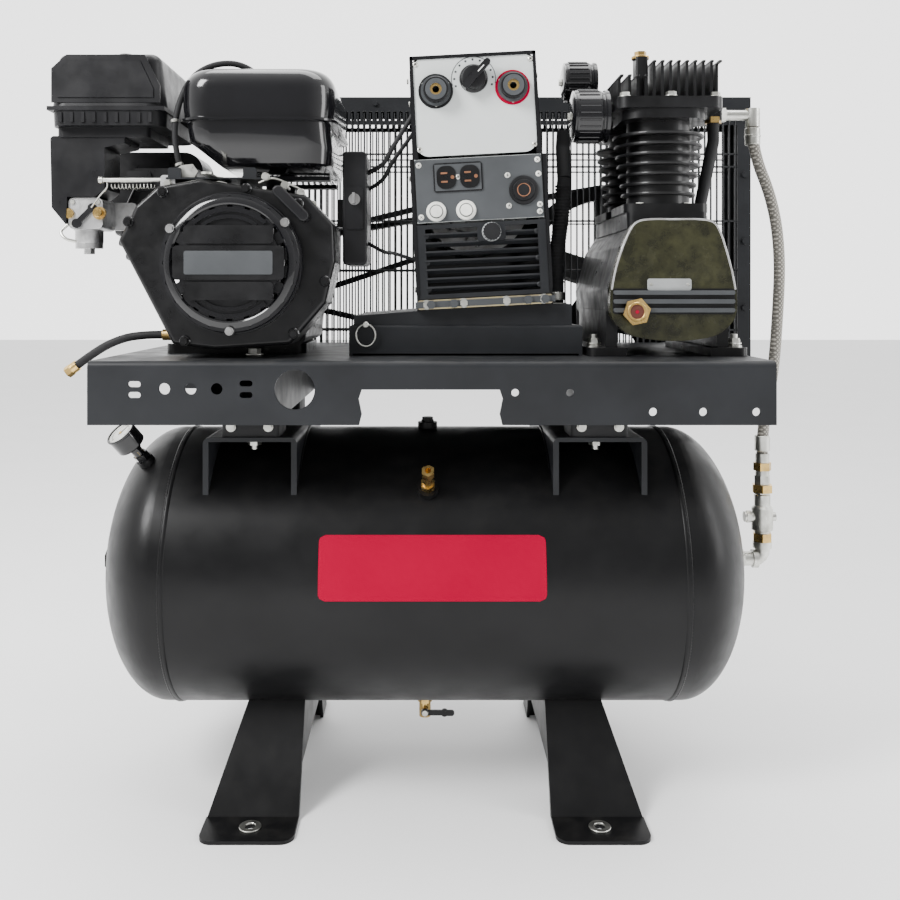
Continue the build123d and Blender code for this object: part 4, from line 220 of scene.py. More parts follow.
def woven_hose(name, color):
    """Braided hose: two crossing diagonal waves, laid by position."""
    made = Finish(name, color, 0.55)
    turned = made.node("Mapping", Vector=made.place)
    turned.inputs["Rotation"].default_value = (0, math.radians(90), math.radians(90))
    waves = []
    for place in (made.place, turned.outputs["Vector"]):
        wave = made.node("TexWave", Vector=place, Scale=95.0, Distortion=1.2, Detail=1.0)
        wave.bands_direction = "DIAGONAL"
        waves.append(wave.outputs["Fac"])
    crossed = made.math("MULTIPLY", *waves)
    made.color(made.mix(made.spread(crossed, 0.1, 0.6), shade(color, 0.45), shade(color, 1.35)))
    made.bump(crossed, 0.8, 0.6)


painted("tank_black", (0.005, 0.005, 0.0054), 0.36, peel=0.1, grain=420, dust=0.1,
        worn=(0.03, 0.03, 0.03))
painted("deck_black", (0.016, 0.017, 0.019), 0.42, peel=0.16, dust=0.22, worn=(0.08, 0.08, 0.08))
cast_painted("casting_black", (0.006, 0.006, 0.0065), 0.34, coat=0.15)
cast_painted("engine_black", (0.006, 0.006, 0.0065), 0.32, coat=0.2)
moulded("moulded_black", (0.009, 0.009, 0.010), 0.34)
painted("gloss_black", (0.005, 0.005, 0.006), 0.13, coat=0.7, peel=0.05, dust=0.12)
bare_metal("brass", (0.72, 0.49, 0.17), 0.26, (0.42, 0.28, 0.11))
bare_metal("zinc", (0.66, 0.66, 0.62), 0.33, (0.42, 0.42, 0.38))
bare_metal("zinc_yellow", (0.72, 0.62, 0.36), 0.32, (0.5, 0.42, 0.3))
bare_metal("steel", (0.45, 0.45, 0.45), 0.32, (0.26, 0.25, 0.24))
bare_metal("aluminium", (0.58, 0.58, 0.58), 0.4, (0.36, 0.36, 0.36), grain=500)
moulded("rubber", (0.015, 0.015, 0.016), 0.62, grain=900)
woven_hose("hose_grey", (0.36, 0.34, 0.3))
painted("panel_silver", (0.66, 0.69, 0.68), 0.36, peel=0.06, dust=0.0, drift=(0.95, 1.03))
painted("panel_dark", (0.06, 0.064, 0.068), 0.45, peel=0.2, dust=0.05)
moulded("knob_black", (0.012, 0.012, 0.013), 0.3, grain=2000, depth=0.1)
moulded("button_white", (0.75, 0.75, 0.7), 0.3, grain=2000, depth=0.05)
cast_painted("cover_olive", (0.022, 0.022, 0.0095), 0.2, coat=0.5, mottle=42)
painted("red", (0.34, 0.0, 0.028), 0.6, peel=0.05, dust=0.0, drift=(0.95, 1.04), specular=0.0)
painted("white_ink", (0.8, 0.8, 0.78), 0.4, peel=0.03, dust=0.0)
painted("grey_ink", (0.32, 0.33, 0.33), 0.4, peel=0.03, dust=0.0)
bare_metal("copper", (0.6, 0.28, 0.16), 0.35, (0.35, 0.17, 0.1))
painted("glass", (0.1, 0.03, 0.02), 0.06, coat=1.0, peel=0.0, dust=0.0)


# ---------------------------------------------------------------- shape makers


def basis(normal, right=None):
    """Matrix whose columns are right, up and normal, for drawing outlines on a face."""
    normal = Vector(normal).normalized()
    guess = Vector(right) if right else (X if abs(normal.x) < 0.9 else Y)
    right = (guess - normal * guess.dot(normal)).normalized()
    up = normal.cross(right)
    return Matrix((right, up, normal)).transposed()


def circle(radius, steps, start=0.0):
    """Points round the origin, from a start angle in degrees."""
    angles = [math.radians(start) + math.tau * k / steps for k in range(steps)]
    return [(radius * math.cos(angle), radius * math.sin(angle)) for angle in angles]


def rectangle(left, right, low, high):
    """Outline of a rectangle."""
    return ((left, low), (right, low), (right, high), (left, high))


def spun(outline, angle):
    """An outline turned about its origin, in degrees."""
    turn = Matrix.Rotation(math.radians(angle), 2)
    return [tuple(turn @ Vector(point)) for point in outline]


SHARP_ANGLE = 32


class Shape:
    """Collects solids in millimetres into one mesh, with a material for each."""

    def __init__(self):
        self.bm = bmesh.new()
        self.finishes = []

    def finish_index(self, finish):
        """Index of a finish on this shape, added if new."""
        if finish not in self.finishes:
            self.finishes.append(finish)
        return self.finishes.index(finish)

    def dress(self, verts, finish, bevel=0.0, segments=1):
        """Gives the faces on these corners their finish, and bevels their sharp edges."""
        faces = {face for vert in verts for face in vert.link_faces}
        index = self.finish_index(finish)
        for face in faces:
            face.material_index = index
        if bevel:
            sharp = {edge for face in faces for edge in face.edges
                     if len(edge.link_faces) == 2 and edge.calc_face_angle(0) > math.radians(SHARP_ANGLE)}
            bmesh.ops.bevel(self.bm, geom=list(sharp), offset=bevel, segments=segments, profile=0.6,
                            affect="EDGES", clamp_overlap=True, material=-1)

    def prism(self, origin, normal, outline, depth, finish, bevel=0.0, right=None, segments=2):
        """Outline (right, up) on a face, raised by depth along the normal."""
        turn = basis(normal, right)
        origin = Vector(origin)
        low = [self.bm.verts.new(origin + turn @ Vector((a, b, 0))) for a, b in outline]
        high = [self.bm.verts.new(origin + turn @ Vector((a, b, depth))) for a, b in outline]
        count = len(outline)
        self.bm.faces.new(low[::-1])
        self.bm.faces.new(high)
        for i in range(count):
            j = (i + 1) % count
            self.bm.faces.new((low[i], low[j], high[j], high[i]))
        self.dress(low + high, finish, bevel, segments)

    def box(self, low, high, finish, bevel=0.0):
        """Upright box between two corners."""
        (x0, y0, z0), (x1, y1, z1) = low, high
        self.prism((0, 0, z0), Z, rectangle(x0, x1, y0, y1), z1 - z0, finish, bevel, X)

    def turned(self, origin, axis, profile, finish, steps=40, closed=False):
        """Lathe: profile of (radius, height) along the axis; ends on the axis are closed."""
        turn = basis(axis)
        origin = Vector(origin)
        rings = []
        for radius, height in profile:
            places = circle(radius, steps) if radius else [(0, 0)]
            rings.append([self.bm.verts.new(origin + turn @ Vector((a, b, height))) for a, b in places])
        pairs = list(zip(rings, rings[1:])) + ([(rings[-1], rings[0])] if closed else [])
        for one, two in pairs:
            for k in range(steps):
                nxt = (k + 1) % steps
                corners = [one[k % len(one)], one[nxt % len(one)], two[nxt % len(two)], two[k % len(two)]]
                unique = list(dict.fromkeys(corners))
                if len(unique) > 2:
                    self.bm.faces.new(unique)
        self.dress([vert for ring in rings for vert in ring], finish)

    def disc(self, origin, axis, radius, depth, finish, edge=0.6, steps=40):
        """Round plug with softened rims."""
        edge = min(edge, radius * 0.45, depth * 0.45)
        self.turned(origin, axis, (
            (0, 0), (radius - edge, 0), (radius, edge),
            (radius, depth - edge), (radius - edge, depth), (0, depth),
        ), finish, steps)

    def ring(self, origin, axis, outer, inner, depth, finish, edge=0.6, steps=48):
        """Tube with softened rims."""
        self.turned(origin, axis, (
            (inner, 0), (outer - edge, 0), (outer, edge), (outer, depth - edge), (outer - edge, depth),
            (inner + edge, depth), (inner, depth - edge),
        ), finish, steps, closed=True)

    def hexagon(self, origin, axis, flats, depth, finish, bevel=0.8, spin=0.0):
        """Hexagon head or nut, by its width across flats."""
        self.prism(origin, axis, circle(flats / math.sqrt(3), 6, spin), depth, finish, bevel)

    def bolt(self, origin, axis, size, finish, washer=True, spin=0.0):
        """Hexagon bolt head on a washer, by its thread size."""
        origin = Vector(origin)
        axis = Vector(axis).normalized()
        lift = 0.0
        if washer:
            lift = 0.2 * size
            self.disc(origin, axis, 1.15 * size, lift, finish, 0.3)
        self.hexagon(origin + axis * lift, axis, 1.65 * size, 0.62 * size, finish, 0.08 * size, spin)

    def pipe(self, points, radius, finish, steps=14, caps=True):
        """Round bar through points, with mitred rings."""
        points = [Vector(point) for point in points]
        rings = []
        side = None
        for i, point in enumerate(points):
            ahead = (points[min(i + 1, len(points) - 1)] - points[max(i - 1, 0)]).normalized()
            if side is None:
                side = (X if abs(ahead.x) < 0.9 else Y).cross(ahead).normalized()
            side = (side - ahead * side.dot(ahead)).normalized()
            up = ahead.cross(side)
            rings.append([self.bm.verts.new(point + side * a + up * b) for a, b in circle(radius, steps)])
        self.skin(rings, finish, caps)

    def skin(self, rings, finish, caps=True):
        """Faces between rings of corners, closed at both ends when caps is true."""
        count = len(rings[0])
        for one, two in zip(rings, rings[1:]):
            for k in range(count):
                nxt = (k + 1) % count
                self.bm.faces.new((one[k], one[nxt], two[nxt], two[k]))
        if caps:
            self.bm.faces.new(rings[0][::-1])
            self.bm.faces.new(rings[-1])
        self.dress([vert for ring in rings for vert in ring], finish)

    def ribs(self, centre, right, up, radius, count, size, length, finish, edge, steps):
        """Small round ribs along the axis of a cap or knob, in a circle about its centre."""
        for a, b in circle(radius, count):
            self.disc(Vector(centre) + right * a + up * b, right.cross(up), size, length, finish, edge, steps)

    def piece(self, name, body="chassis", slot=None, stands_for=(), smooth=SHARP_ANGLE):
        """The finished object: recalculated normals, materials and body; slot is not used."""
        bmesh.ops.recalc_face_normals(self.bm, faces=self.bm.faces)
        bmesh.ops.scale(self.bm, vec=(MM, MM, MM), verts=self.bm.verts)
        mesh = bpy.data.meshes.new(name)
        self.bm.to_mesh(mesh)
        self.bm.free()
        for finish in self.finishes:
            mesh.materials.append(MATERIALS[finish])
        made = bpy.data.objects.new(name, mesh)
        bpy.context.scene.collection.objects.link(made)
        for polygon in mesh.polygons:
            polygon.use_smooth = True
        mesh.set_sharp_from_angle(angle=math.radians(smooth))
        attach(made, body)
        if stands_for:
            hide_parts(*stands_for)


def rounded(width, height, radius, steps=6):
    """Outline of a rectangle with round corners, about its centre."""
    points = []
    for corner, (sx, sy) in enumerate(((1, 1), (-1, 1), (-1, -1), (1, -1))):
        cx, cy = sx * (width / 2 - radius), sy * (height / 2 - radius)
        for step in range(steps + 1):
            angle = math.radians(90 * corner + 90 * step / steps)
            points.append((cx + radius * math.cos(angle), cy + radius * math.sin(angle)))
    return points


def smooth_line(points, steps=8):
    """Catmull-Rom curve through points."""
    points = [Vector(point) for point in points]
    padded = [2 * points[0] - points[1], *points, 2 * points[-1] - points[-2]]
    line = []
    for a, b, c, d in zip(padded, padded[1:], padded[2:], padded[3:]):
        for step in range(steps):
            t = step / steps
            line.append(0.5 * ((2 * b) + (c - a) * t + (2 * a - 5 * b + 4 * c - d) * t**2
                               + (3 * b - a - 3 * c + d) * t**3))
    line.append(points[-1])
    return line


def closed_curve(points):
    """Smooth closed outline through flat points."""
    steps = 5
    lifted = [Vector((a, b, 0)) for a, b in points]
    looped = lifted[-2:] + lifted + lifted[:2]
    count = len(points) * steps
    return [(spot.x, spot.y) for spot in smooth_line(looped, steps)[2 * steps:2 * steps + count]]


# ---------------------------------------------------------------- cords


def curve(name, points, radius, finish):
    """A hose or cable as a NURBS curve steered by millimetre points."""
    data = bpy.data.curves.new(name, "CURVE")
    data.dimensions = "3D"
    data.bevel_depth = radius * MM
    data.bevel_resolution = 5
    data.resolution_u = 16
    data.use_fill_caps = True
    spline = data.splines.new("NURBS")
    spline.points.add(len(points) - 1)
    for point, where in zip(spline.points, points):
        point.co = (*(Vector(where) * MM), 1)
    spline.order_u = 3
    spline.use_endpoint_u = True
    data.materials.append(MATERIALS[finish])
    made = bpy.data.objects.new(name, data)
    bpy.context.scene.collection.objects.link(made)
    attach(made, "chassis")
    return made


def hose(name, points, radius, finish, node):
    """A free hose standing for its CAD node; its far end goes back into the object."""
    made = curve(name, points, radius, finish)
    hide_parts(node)


DISCHARGE_ROUTE = ((508, 0, 984), (508, 0, 948), (540, 0, 868), (551, 0, 785), (547, 0, 690),
                   (540, 0, 600), (523, 0, 518), (523, 0, 478))
DRAIN_ROUTE = ((-380, -98, 666), (-416, -98, 666), (-450, -98, 657), (-480, -98, 640), (-504, -98, 622))
hose("discharge_braid", DISCHARGE_ROUTE, 8.5, "hose_grey", "discharge_hose")
hose("oil_drain_line", DRAIN_ROUTE, 6.0, "rubber", "oil_drain_hose")


# ---------------------------------------------------------------- materials on the CAD pieces

FINISHES = {
    "tank_black": ("tank_shell", "tank_ports", "tank_legs"),
    "deck_black": ("deck_tray", "deck_supports", "generator_slide", "engine_brackets", "belt_guard_frame",
                   "belt_guard_mesh", "louvre_grille"),
    "casting_black": ("pump_crankcase", "pump_cylinders", "pump_head", "pump_flywheel", "engine_pulley",
                      "generator_pulley"),
    "engine_black": ("engine_block", "exhaust_silencer", "valve_cover", "blower_shroud"),
    "moulded_black": ("air_cleaner_base", "air_cleaner_cover", "fuel_cap", "recoil_cover", "control_box",
                      "recoil_grip", "choke_lever"),
    "gloss_black": ("fuel_tank", "welder_casing", "intake_filters", "tank_gauge"),
    "brass": ("brass_fittings", "relief_ring"),
    "zinc": ("mounting_bolts", "hose_fittings", "check_valve", "throttle_lever"),
    "steel": ("engine_crankshaft", "pump_crankshaft", "generator_rotor", "generator_stator", "ignition_key"),
    "aluminium": ("carburettor", "engine_flywheel", "pistons"),
    "rubber": ("deck_isolators", "drive_belts", "pump_pipes", "discharge_hose", "oil_drain_hose"),
    "panel_silver": ("front_panels",),
    "panel_dark": ("panel_fittings",),
    "knob_black": ("air_cleaner_knob", "current_selector", "output_dial", "oil_dipstick", "drain_lever"),
    "button_white": ("breaker_left", "breaker_right"),
    "cover_olive": ("pump_front_cover",),
}
SOFT_EDGES = {
    "tank_legs": 0.8, "tank_ports": 0.8, "deck_tray": 1.2, "deck_supports": 1.2, "generator_slide": 1.0,
    "engine_brackets": 0.5, "belt_guard_frame": 1.0, "louvre_grille": 0.5, "pump_crankcase": 1.5,
    "pump_cylinders": 0.6, "pump_head": 0.7, "pump_flywheel": 1.0, "engine_block": 1.2,
    "exhaust_silencer": 2.0, "valve_cover": 1.5, "welder_casing": 0.8, "carburettor": 0.8,
    "mounting_bolts": 0.4, "hose_fittings": 0.5, "check_valve": 0.6, "brass_fittings": 0.4,
    "front_panels": 0.4, "panel_fittings": 0.5, "control_box": 1.2, "air_cleaner_base": 1.0,
    "recoil_cover": 0.8, "pump_front_cover": 1.0, "current_selector": 0.8, "output_dial": 0.8,
    "recoil_grip": 1.5, "fuel_cap": 0.6, "air_cleaner_knob": 0.6, "deck_isolators": 2.0,
}
SOFT_ANGLE = 35
FINISH_OF = {name: finish for finish, names in FINISHES.items() for name in names}

for name, node in NODES.items():
    for item in node.material_slots:
        item.link = "OBJECT"
        item.material = MATERIALS[FINISH_OF[name]]
    if name in SOFT_EDGES:
        soften = node.modifiers.new("soft_edges", "BEVEL")
        soften.width = SOFT_EDGES[name] * MM
        soften.segments = 2
        soften.limit_method = "ANGLE"
        soften.angle_limit = math.radians(SOFT_ANGLE)
        soften.harden_normals = True


# ---------------------------------------------------------------- tank

TANK_Z = 315.0
TANK_R = 203.2
SEAM_X = 357.0
SADDLE_X, SADDLE_HALF = 244.0, 65.5
ANCHOR_X, ANCHOR_Y = 236.0, 197.0
LABEL_PROUD = 0.5
WELD_RADIUS = 2.6


def tank_point(angle, proud, x=0.0):
    """Point on the tank's wall, by its angle above the front."""
    reach = TANK_R + proud
    return Vector((x, -reach * math.cos(math.radians(angle)), TANK_Z + reach * math.sin(math.radians(angle))))


def weld_bead(shape, points):
    """Rippled weld bead along points."""
    ripples = []
    for one, two in zip(points, points[1:]):
        one, two = Vector(one), Vector(two)
        count = max(1, int((two - one).length / 2.4))
        ripples += [one.lerp(two, k / count) for k in range(count)]
    rings = []
    for index, point in enumerate(ripples):
        ahead = (ripples[min(index + 1, len(ripples) - 1)] - ripples[max(index - 1, 0)]).normalized()
        side = (X if abs(ahead.x) < 0.8 else Y).cross(ahead).normalized()
        up = ahead.cross(side)
        radius = WELD_RADIUS * (1.0 if index % 2 else 0.84) * random.uniform(0.94, 1.06)
        rings.append([shape.bm.verts.new(point + side * a + up * b) for a, b in circle(radius, 8)])
    shape.skin(rings, "tank_black", False)


def tank_decal():
    """Blank label with round ends, wrapped on the front of the tank."""
    shape = Shape()
    left, right, low, high = -144.0, 164.0, 312.0, 397.0
    radius = 9.0
    columns, rows = 72, 24
    angle_low = math.degrees(math.asin((low - TANK_Z) / TANK_R))
    angle_high = math.degrees(math.asin((high - TANK_Z) / TANK_R))
    rise = math.radians(angle_high - angle_low) * TANK_R
    grid = []
    for row in range(rows + 1):
        angle = angle_low + (angle_high - angle_low) * row / rows
        arc = math.radians(angle - angle_low) * TANK_R
        gap = min(arc, rise - arc, radius)
        inset = radius - math.sqrt(max(0.0, radius**2 - (radius - gap) ** 2))
        pitch = (right - left - 2 * inset) / columns
        grid.append([shape.bm.verts.new(tank_point(angle, LABEL_PROUD, left + inset + pitch * k))
                     for k in range(columns + 1)])
    for one, two in zip(grid, grid[1:]):
        for k in range(columns):
            shape.bm.faces.new((one[k], one[k + 1], two[k + 1], two[k]))
    shape.dress([vert for row in grid for vert in row], "red")
    shape.piece("tank_label", smooth=60)


tank_decal()

welds = Shape()
for side in (-1, 1):
    around = [tank_point(step * 5, -0.6, side * (SEAM_X + 2.4)) for step in range(73)]
    weld_bead(welds, around)
for side in (-1, 1):
    for edge in (-SADDLE_HALF, SADDLE_HALF):
        x = side * SADDLE_X + edge
        weld_bead(welds, [tank_point(step * 2.5, 0.4, x) for step in range(21, 52)])
welds.piece("tank_welds", smooth=60)

anchors = Shape()
for x in (-ANCHOR_X, ANCHOR_X):
    for y in (-ANCHOR_Y, ANCHOR_Y):
        anchors.ring((x, y, 5), Z, 15, 7.4, 2.2, "zinc", 0.5)
anchors.piece("anchor_washers")


# ---------------------------------------------------------------- deck and bolts

DECK_TOP = 638.0
ISOLATOR_Y = 115.0

deck = Shape()
for x in (-SADDLE_X, SADDLE_X):
    for y in (-ISOLATOR_Y, ISOLATOR_Y):
        deck.disc((x, y, DECK_TOP), Z, 13, 2, "zinc", 0.4)
        deck.hexagon((x, y, DECK_TOP + 2), Z, 16, 7, "zinc", 0.8)
for x in (-SADDLE_X, SADDLE_X):
    for side in (-26.0, 26.0):
        deck.bolt((x + side, -156, 540), FRONT, 6, "zinc", True, random.uniform(0, 60))
deck.piece("deck_hardware")


# ---------------------------------------------------------------- engine

CRANK = Vector((-257, 0, 766))
SHROUD_FACE, RECOIL_FACE = -205.0, -231.5
FUEL_MIDDLE = Vector((-230, -65, 0))
FUEL_SEAM = 960.0
FUEL_CAP = Vector((-230, -40, 1041))
CLEANER_FACE = -168.0
AIR_KNOB = Vector((-432, -100, 1059))
FLOAT_BOWL = Vector((-480, -118, 788))
THROTTLE_ROD = Vector((-446, -180, 881))
SLIDE_PIN = Vector((-83, -146, 667))


def on_front(centre, right, up, y):
    """Point on a plane facing the viewer, from a centre."""
    return Vector((centre[0] + right, y, centre[2] + up))


def arc_points(radius, start, end, steps):
    """Points of an arc about the origin, angles in degrees."""
    return [(radius * math.cos(math.radians(start + (end - start) * k / steps)),
             radius * math.sin(math.radians(start + (end - start) * k / steps))) for k in range(steps + 1)]


def arc_band(shape, centre, y, outer, inner, start, end, depth, finish):
    """Curved bar facing the viewer."""
    outline = arc_points(outer, start, end, 24) + arc_points(inner, end, start, 24)
    shape.prism((centre[0], y, centre[2]), FRONT, outline, depth, finish, 0.6, X)


recoil = Shape()
recoil.turned(on_front(CRANK, 0, 0, SHROUD_FACE), FRONT, (
    (91.0, 0), (94.6, 2), (95.2, 12), (93.5, 20), (89.5, 25.5), (83.5, 28.5), (79.0, 29.5), (76.5, 28.0),
    (75.8, 24.5),
), "gloss_black", 96)
for start in (48, 228):
    arc_band(recoil, CRANK, RECOIL_FACE, 73.5, 67.5, start, start + 84, 4.0, "gloss_black")
    arc_band(recoil, CRANK, RECOIL_FACE, 63.5, 58.5, start + 6, start + 78, 3.4, "gloss_black")
band_face, band_depth = RECOIL_FACE - 4, 5.4
for up, width, tall in ((-37.0, 118, 24), (0.0, 146, 45), (37.0, 118, 24)):
    recoil.prism(on_front(CRANK, 0, up, band_face), FRONT, rounded(width, tall, 6), band_depth,
                 "engine_black", 2.4, X, 3)
recoil.prism(on_front(CRANK, 0, 0, band_face - band_depth), FRONT, rounded(116, 31, 3), 0.6,
             "panel_dark", 0.2, X)
for angle in (270, 36, 150):
    spot = on_front(CRANK, *circle(90, 1, angle)[0], RECOIL_FACE + 0.5)
    recoil.disc(spot, FRONT, 7, 3, "moulded_black", 1.0)
    recoil.bolt(spot + FRONT * 3, FRONT, 5, "steel", True, angle)
recoil.piece("recoil_trim", slot="moulded_black")

shroud = Shape()
for x, z in ((-398, 822), (-352, 862), (-170, 846), (-134, 742), (-176, 672), (-322, 662), (-240, 866)):
    shroud.disc((x, SHROUD_FACE, z), FRONT, 7.5, 2.5, "gloss_black", 0.8)
    shroud.bolt((x, SHROUD_FACE - 2.5, z), FRONT, 5, "engine_black", True, x)
shroud.piece("shroud_screws", slot="engine_black")


def fuel_section(z, width, deep, corner, shift=0.0):
    """One level of the pressed fuel tank, as points."""
    return [FUEL_MIDDLE + Vector((a + shift, b, z)) for a, b in rounded(width, deep, corner, 8)]


def pressed_shell(shape, levels):
    """Skin through levels from the bottom up, closed at both ends."""
    shape.skin([[shape.bm.verts.new(point) for point in level] for level in levels], "gloss_black")


fuel = Shape()
pressed_shell(fuel, [
    fuel_section(900.5, 146, 232, 26, 22), fuel_section(903.5, 154, 240, 30, 22),
    fuel_section(926, 186, 250, 34, 9), fuel_section(934, 196, 256, 36, 3),
    fuel_section(FUEL_SEAM - 2, 198, 258, 36), fuel_section(FUEL_SEAM, 198, 258, 36),
])
pressed_shell(fuel, [
    fuel_section(FUEL_SEAM, 214, 268, 40), fuel_section(FUEL_SEAM + 1, 217, 271, 41),
    fuel_section(FUEL_SEAM + 4, 217, 271, 41), fuel_section(FUEL_SEAM + 5, 214, 268, 40),
])
upper = []
for step in range(13):
    lean = math.radians(90 * step / 12)
    pull = 30 * (1 - math.cos(lean))
    upper.append(fuel_section(1004 + 31 * math.sin(lean), 212 - 2 * pull, 266 - 2 * pull,
                              max(14, 44 - pull * 0.7)))
lower = [fuel_section(FUEL_SEAM + 5, 206, 262, 40), fuel_section(984, 211, 265, 42)]
pressed_shell(fuel, lower + upper)
fuel.ring(FUEL_CAP - Z * 7, Z, 27, 20, 6, "gloss_black", 1.0)
fuel.piece("pressed_fuel_tank", stands_for=("fuel_tank",), smooth=40)

cap = Shape()
cap.turned(FUEL_CAP, Z, (
    (26.0, 0), (30.4, 1), (31.2, 3), (31.2, 9.5), (29.6, 11.6), (25.5, 12.6), (20.0, 12.2), (0, 12.0),
), "moulded_black", 72)
cap.ribs(FUEL_CAP + Z * 2, X, Y, 30.6, 30, 1.5, 7.5, "moulded_black", 0.5, 10)
cap.box(FUEL_CAP + Vector((-3.5, -22, 11.6)), FUEL_CAP + Vector((3.5, 22, 16.6)), "moulded_black", 1.6)
cap.piece("fuel_cap_grip", body="cap")

cleaner = Shape()
outer_rim = ((-515, 989), (-515, 1036), (-494, 1055), (-386, 1055), (-365, 1012), (-365, 989))
inner_rim = ((-506, 996), (-506, 1030), (-489, 1046), (-392, 1046), (-374, 1008), (-374, 996))
cleaner.prism(Y * CLEANER_FACE, FRONT, outer_rim, 2.2, "moulded_black", 1.0, X)
cleaner.prism(Y * (CLEANER_FACE - 2), FRONT, inner_rim, 1.8, "moulded_black", 0.8, X)
cleaner.box((-521, -171, 978.5), (-359, 25, 984), "moulded_black", 1.4)
for index in range(9):
    x = -505 + index * 15.5
    cleaner.box((x, -170.4, 962), (x + 4.5, -167.5, 976), "moulded_black", 0.6)
cleaner.box((-524, -92, 968), (-517.5, -66, 1004), "zinc", 1.0)
cleaner.pipe([(-524.5, -90, 1000), (-526.5, -79, 1008), (-524.5, -68, 1000)], 1.5, "zinc")
cleaner.piece("air_cleaner_trim")

knob = Shape()
knob.turned(AIR_KNOB, Z, ((8, 0), (13.5, 1), (14.2, 4), (13.2, 10.6), (10.0, 12.4), (0, 12.8)),
            "knob_black", 40)
knob.ribs(AIR_KNOB + Z * 1.5, X, Y, 13.6, 12, 1.8, 8.5, "knob_black", 0.5, 10)
knob.piece("air_knob_ribs", body="air_knob")

carb = Shape()
carb.turned(FLOAT_BOWL, Z, (
    (0, 0), (5, 0.3), (5, 3.5), (14, 4.5), (18.4, 7.5), (19.6, 11),
    (19.6, 27), (21.2, 28), (21.2, 31), (0, 31),
), "aluminium", 48)
carb.hexagon(FLOAT_BOWL - Z * 3.5, Z, 9, 4, "brass", 0.5)
plug = ((0, 0), (9, 0), (9, 5), (6, 5), (6, 11), (5, 12), (0, 12))
carb.turned((-455, -147, 838), FRONT, plug, "brass", 32)
for x, z in ((-494, 854), (-458, 854), (-494, 824)):
    carb.disc((x, -146, z), FRONT, 3.4, 2.2, "zinc", 0.5, 20)
for radius, route in (
    (1.3, ((-466, -151, 846), (-452, -157, 862), (-438, -170, 872), (-436, -176, 880))),
    (2.2, ((-500, -148, 822), (-508, -152, 812), (-500, -156, 802), (-486, -152, 798))),
):
    carb.pipe(smooth_line(route), radius, "zinc")
coil_radius, coil_turn, coil_pitch = 3.2, 0.7, 0.55
spring = [(-430 + k * coil_pitch, -180 + coil_radius * math.cos(k * coil_turn),
           872 + coil_radius * math.sin(k * coil_turn)) for k in range(110)]
carb.pipe(spring, 0.55, "zinc", 8)
carb.disc((-499, -146, 838), FRONT, 7.2, 3.4, "brass", 0.6)
carb.piece("carburettor_fittings")

curve("vent_line", [(-236, -150, 1032), (-252, -152, 1046), (-292, -158, 1046), (-326, -164, 1024),
                    (-344, -168, 976), (-346, -168, 930), (-338, -164, 898)], 4.2, "rubber")
clips = Shape()
for where, axis in (((-345, -168, 962), (-0.1, 0, 1)), ((-340, -165.5, 906), (0.25, 0, -1))):
    clips.ring(where, axis, 5.8, 4.0, 4, "zinc", 0.4, 28)
clips.piece("fuel_line_clips")

block = Shape()
for index in range(9):
    z = 800 + index * 9.5
    block.box((-404, -104, z), (-330, 104, z + 2.6), "engine_black", 0.6)
for x in (-359, -197):
    for y in (-60.5, 44.5):
        block.bolt((x, y, 654), Z, 8, "zinc", True, random.uniform(0, 60))
block.ring((-356, -70, 690), (-1, 0, 0.35), 12.5, 9, 5, "engine_black", 0.8)
block.turned((-182, -113, 690), FRONT, ((0, 0), (8, 0), (8, 3), (0, 3)), "zinc", 24)
block.hexagon((-182, -116, 690), FRONT, 13, 6, "zinc", 0.7)
block.piece("engine_fins")

linkage = Shape()
linkage.pipe([THROTTLE_ROD + X * 4, THROTTLE_ROD + X * 92], 3.1, "zinc")
linkage.disc(THROTTLE_ROD, X, 4.6, 6, "zinc", 0.6, 24)
linkage.prism((-350, -184, 876), FRONT, rounded(20, 22, 4), 2.4, "aluminium", 0.5, X)
linkage.bolt((-350, -186.5, 876), FRONT, 5, "zinc", True)
plate = ((-14, -9), (10, -9), (15, 0), (8, 10), (-8, 8), (-16, 2))
linkage.prism((-326, -176, 893), FRONT, plate, 3.0, "zinc", 0.6, X)
for radius, route in (
    (1.5, ((-318, -180, 877), (-298, -186, 875), (-280, -190, 877), (-262, -186, 873))),
    (1.6, ((-226, -186, 876), (-206, -190, 882), (-184, -186, 874), (-166, -184, 866))),
):
    linkage.pipe(smooth_line(route), radius, "zinc")
for x, z in ((-304, 874), (-216, 884), (-190, 872), (-168, 862), (-152, 846)):
    linkage.bolt((x, -192, z), FRONT, 5, "zinc", True, x)
    linkage.pipe([(x, -190, z), (x, -150, z)], 2.2, "zinc", 10)
linkage.box((-398, -104, 858), (-330, -62, 906), "engine_black", 4.0)
linkage.box((-410, -140, 872), (-350, -104, 902), "engine_black", 5.0)
linkage.prism((-402, -142, 888), FRONT, rounded(34, 20, 5), 2.0, "moulded_black", 0.8, X)
linkage.piece("governor_linkage")

ring_pin = Shape()
loop = [SLIDE_PIN + Vector((13.5 * a, -1.5 * b, 15.5 * b)) for a, b in circle(1, 36)]
ring_pin.pipe(loop + loop[:1], 1.3, "zinc", 10)
ring_pin.disc(SLIDE_PIN + Vector((0, -4, 15)), Y, 4.2, 12, "zinc", 0.8, 24)
ring_pin.piece("slide_pin_ring")

silencer = Shape()
band = ((43.5, 0), (46.2, 1), (46.2, 5), (43.5, 6))
for y in (84, 156):
    silencer.turned((-436, y, 900), Y, band, "engine_black", 56, closed=True)
silencer.piece("silencer_bands")


# ---------------------------------------------------------------- welder generator

